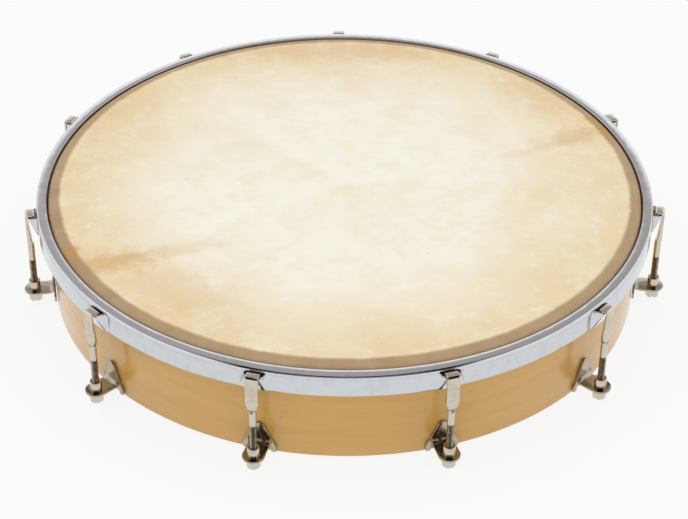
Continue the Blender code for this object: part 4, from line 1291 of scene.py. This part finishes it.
def sleeve_nut_mesh():
    """The nut in its lug's frame: a bored sleeve that reaches above the tongue, and a slotted head below."""
    outline = rounded(
        [
            (0.0, BORE_FLOOR_Z, 0.0),
            (BORE_RADIUS, BORE_FLOOR_Z),
            (BORE_RADIUS, SLEEVE_TOP_Z),
            (SLEEVE_RADIUS, SLEEVE_TOP_Z),
            (SLEEVE_RADIUS, HEAD_TOP_Z, SLEEVE_FILLET),
            (HEAD_RADIUS, HEAD_TOP_Z),
            (HEAD_RADIUS, HEAD_BOTTOM_Z, HEAD_ROUNDING),
            (0.0, HEAD_BOTTOM_Z, 0.0),
        ],
        NUT_ROUNDING,
        steps=4,
    )
    slot = block(
        "drive_slot",
        (-DRIVE_SLOT_WIDTH / 2, -HEAD_RADIUS - CUT_MARGIN, HEAD_BOTTOM_Z - CUT_MARGIN),
        (DRIVE_SLOT_WIDTH / 2, HEAD_RADIUS + CUT_MARGIN, HEAD_BOTTOM_Z + DRIVE_SLOT_DEPTH),
    )
    mesh = combined("sleeve_nut", turned("sleeve_nut", outline, NUT_STEPS), slot, "DIFFERENCE")
    mesh.transform(Matrix.Translation((ROD_AXIS_RADIUS, 0.0, 0.0)))
    return mesh


def stud_nut_mesh():
    """The flanged nut in its lug's frame, its hexagon's corners turned down to a cone."""
    flange_face = STUD_NUT_SEAT_RADIUS - STUD_NUT_FLANGE
    # The hexagon reaches into the flange, so that the two join
    root = flange_face + STUD_NUT_FLANGE / 2
    flange_outline = rounded(
        [
            (0.0, STUD_NUT_SEAT_RADIUS, 0.0),
            (STUD_NUT_FLANGE_RADIUS, STUD_NUT_SEAT_RADIUS),
            (STUD_NUT_FLANGE_RADIUS, flange_face),
            (0.0, flange_face, 0.0),
        ],
        STUD_NUT_ROUNDING,
    )
    cone_outline = [
        (0.0, root),
        (STUD_NUT_CORNER_RADIUS + CUT_MARGIN, root),
        (STUD_NUT_CORNER_RADIUS + CUT_MARGIN, STUD_NUT_END_RADIUS + CONE_HEIGHT),
        (STUD_NUT_CORNER_RADIUS * CONE_END_SHARE, STUD_NUT_END_RADIUS),
        (0.0, STUD_NUT_END_RADIUS),
    ]
    hexagon = bar("hexagon", STUD_NUT_CORNER_RADIUS, (0.0, 0.0, STUD_NUT_END_RADIUS), (0.0, 0.0, root), 6)
    hexagon = combined("hexagon", hexagon, turned("cone", cone_outline, NUT_STEPS), "INTERSECT")
    joined = combined("stud_nut", turned("flange", flange_outline, NUT_STEPS), hexagon, "UNION")
    bore_start = (0.0, 0.0, STUD_NUT_END_RADIUS - CUT_MARGIN)
    bore = bar("bore", STUD_RADIUS + SEAT_GAP, bore_start, (0.0, 0.0, STUD_NUT_SEAT_RADIUS + CUT_MARGIN))
    mesh = combined("stud_nut", joined, bore, "DIFFERENCE")
    # It was made about +Z, and now lies along +X at the stud's height
    mesh.transform(Matrix.Translation((0.0, 0.0, STUD_Z)) @ Matrix.Rotation(math.pi / 2, 4, "Y"))
    return mesh


class DRUM_OT_nuts(bpy.types.Operator):
    """Makes the slotted nuts under the hooks and the flanged nuts inside the frame"""

    bl_idname = "drum.nuts"
    bl_label = "Nuts"

    def execute(self, context):
        nickel, zinc = [nickel_material()], [zinc_material()]
        show_at_lugs("tuning_nut", sleeve_nut_mesh(), nickel, "sleeve_nut", "nut_{:02d}")
        show_at_lugs("inner_nut", stud_nut_mesh(), zinc, "stud_nut", "frame")
        return {"FINISHED"}


# Stage


def room_world(strength):
    """A studio: white sides, a lilac-grey back, a dark end towards the camera and a lamp panel overhead."""
    world = bpy.data.worlds.new("Photo studio")
    world.use_nodes = True
    tree = world.node_tree
    direction = add_node(tree, "ShaderNodeTexCoord").outputs["Generated"]
    parts = add_node(tree, "ShaderNodeSeparateXYZ", {0: direction})
    right, back, up = (parts.outputs[axis] for axis in "XYZ")
    aside = add_node(tree, "ShaderNodeMath", {0: right}, operation="ABSOLUTE").outputs["Value"]
    inner = {"Value": aside, "From Min": 0.74, "From Max": 0.52}
    shade = add_node(tree, "ShaderNodeMapRange", inner, interpolation_type="SMOOTHSTEP").outputs["Result"]
    layers = [
        (linear("#AFA8A4"), right, -0.22, 0.24, 1.0),
        # The back wall is brightest low down, where the far side of the rim mirrors it
        (linear("#FFFFFF"), up, 0.56, 0.50, 1.0),
        (linear("#FFFFFF"), aside, 0.30, 0.50, 1.0),
        # The dark end starts over the drum, and low down it is only dim
        (linear("#0E0E10"), back, 0.42, 0.28, shade),
        (linear("#8A8A8C"), back, -0.78, -0.92, 1.0),
        (linear("#D8D8DA"), up, 0.965, 0.975, 1.0),
    ]
    colour = layered(tree, linear("#BBB1B3"), layers)
    set_inputs(tree, tree.nodes["Background"], {"Color": colour, "Strength": strength})
    return world


def add_softbox(name, place, size, power):
    """A soft light aimed at the drum, which isn't itself mirrored in the plate."""
    light = bpy.data.lights.new(name, "AREA")
    light.shape = "RECTANGLE"
    light.size, light.size_y = size
    light.energy = power
    obj = new_object(name, light)
    obj.location = place
    obj.rotation_euler = (-Vector(place)).to_track_quat("-Z", "Y").to_euler()
    obj.visible_glossy = False


def add_camera():
    camera = bpy.data.cameras.new("photo_camera")
    camera.sensor_width = SENSOR_WIDTH_MM
    camera.lens = FOCAL_LENGTH_PX / PHOTO_WIDTH_PX * SENSOR_WIDTH_MM
    obj = new_object("photo_camera", camera)
    turn = Matrix.Rotation(-CAMERA_YAW, 4, "Z") @ Matrix.Rotation(math.pi / 2 - CAMERA_PITCH, 4, "X")
    obj.matrix_world = Matrix.Translation(CAMERA_PLACE) @ turn @ Matrix.Rotation(-CAMERA_ROLL, 4, "Z")
    bpy.context.scene.camera = obj


def add_floor():
    half = FLOOR_SIZE / 2
    mesh = bpy.data.meshes.new("floor")
    corners = [(x, y, FLOOR_Z) for x, y in ((-half, -half), (half, -half), (half, half), (-half, half))]
    mesh.from_pydata(corners, [], [(0, 1, 2, 3)])
    mesh.materials.append(table_material())
    floor = new_object("floor", mesh)


class DRUM_OT_stage(bpy.types.Operator):
    """Makes the floor, the lights and the camera"""

    bl_idname = "drum.stage"
    bl_label = "Stage"

    def execute(self, context):
        stage = settings("stage")
        add_floor()
        context.scene.world = room_world(stage.room_strength)
        add_softbox("softbox_overhead", OVERHEAD_PLACE, OVERHEAD_SIZE, stage.top_power)
        add_softbox("softbox_front", FRONT_PLACE, FRONT_SIZE, stage.front_power)
        add_camera()
        context.scene.view_settings.view_transform = "Standard"
        return {"FINISHED"}


class DRUM_PT_panel(bpy.types.Panel):
    """Lists the drum's pieces and what can be changed on them"""

    bl_idname = "DRUM_PT_panel"
    bl_label = "Hand drum"
    bl_space_type = "VIEW_3D"
    bl_region_type = "UI"
    bl_category = "Drum"

    def draw(self, context):
        for step in STEPS:
            self.layout.operator(f"drum.{step}")
        for name, group in GROUPS.items():
            box = self.layout.box()
            for key in group.__annotations__:
                box.prop(settings(name), key)


GROUPS = {"hide": HideSettings, "frame": FrameSettings, "metal": MetalSettings, "stage": StageSettings}
STEPS = ("frame", "hide", "hoops", "hooks", "brackets", "nuts", "stage")
CLASSES = (
    DRUM_OT_frame,
    DRUM_OT_hide,
    DRUM_OT_hoops,
    DRUM_OT_hooks,
    DRUM_OT_brackets,
    DRUM_OT_nuts,
    DRUM_OT_stage,
    DRUM_PT_panel,
)


def register():
    for name, group in GROUPS.items():
        bpy.utils.register_class(group)
        setattr(bpy.types.Scene, "drum_" + name, bpy.props.PointerProperty(type=group))
    for shown_class in CLASSES:
        bpy.utils.register_class(shown_class)


def unregister():
    for shown_class in reversed(CLASSES):
        bpy.utils.unregister_class(shown_class)
    for name, group in GROUPS.items():
        delattr(bpy.types.Scene, "drum_" + name)
        bpy.utils.unregister_class(group)


def main():
    register()
    for step in STEPS:
        getattr(bpy.ops.drum, step)()


if __name__ == "__main__":
    main()
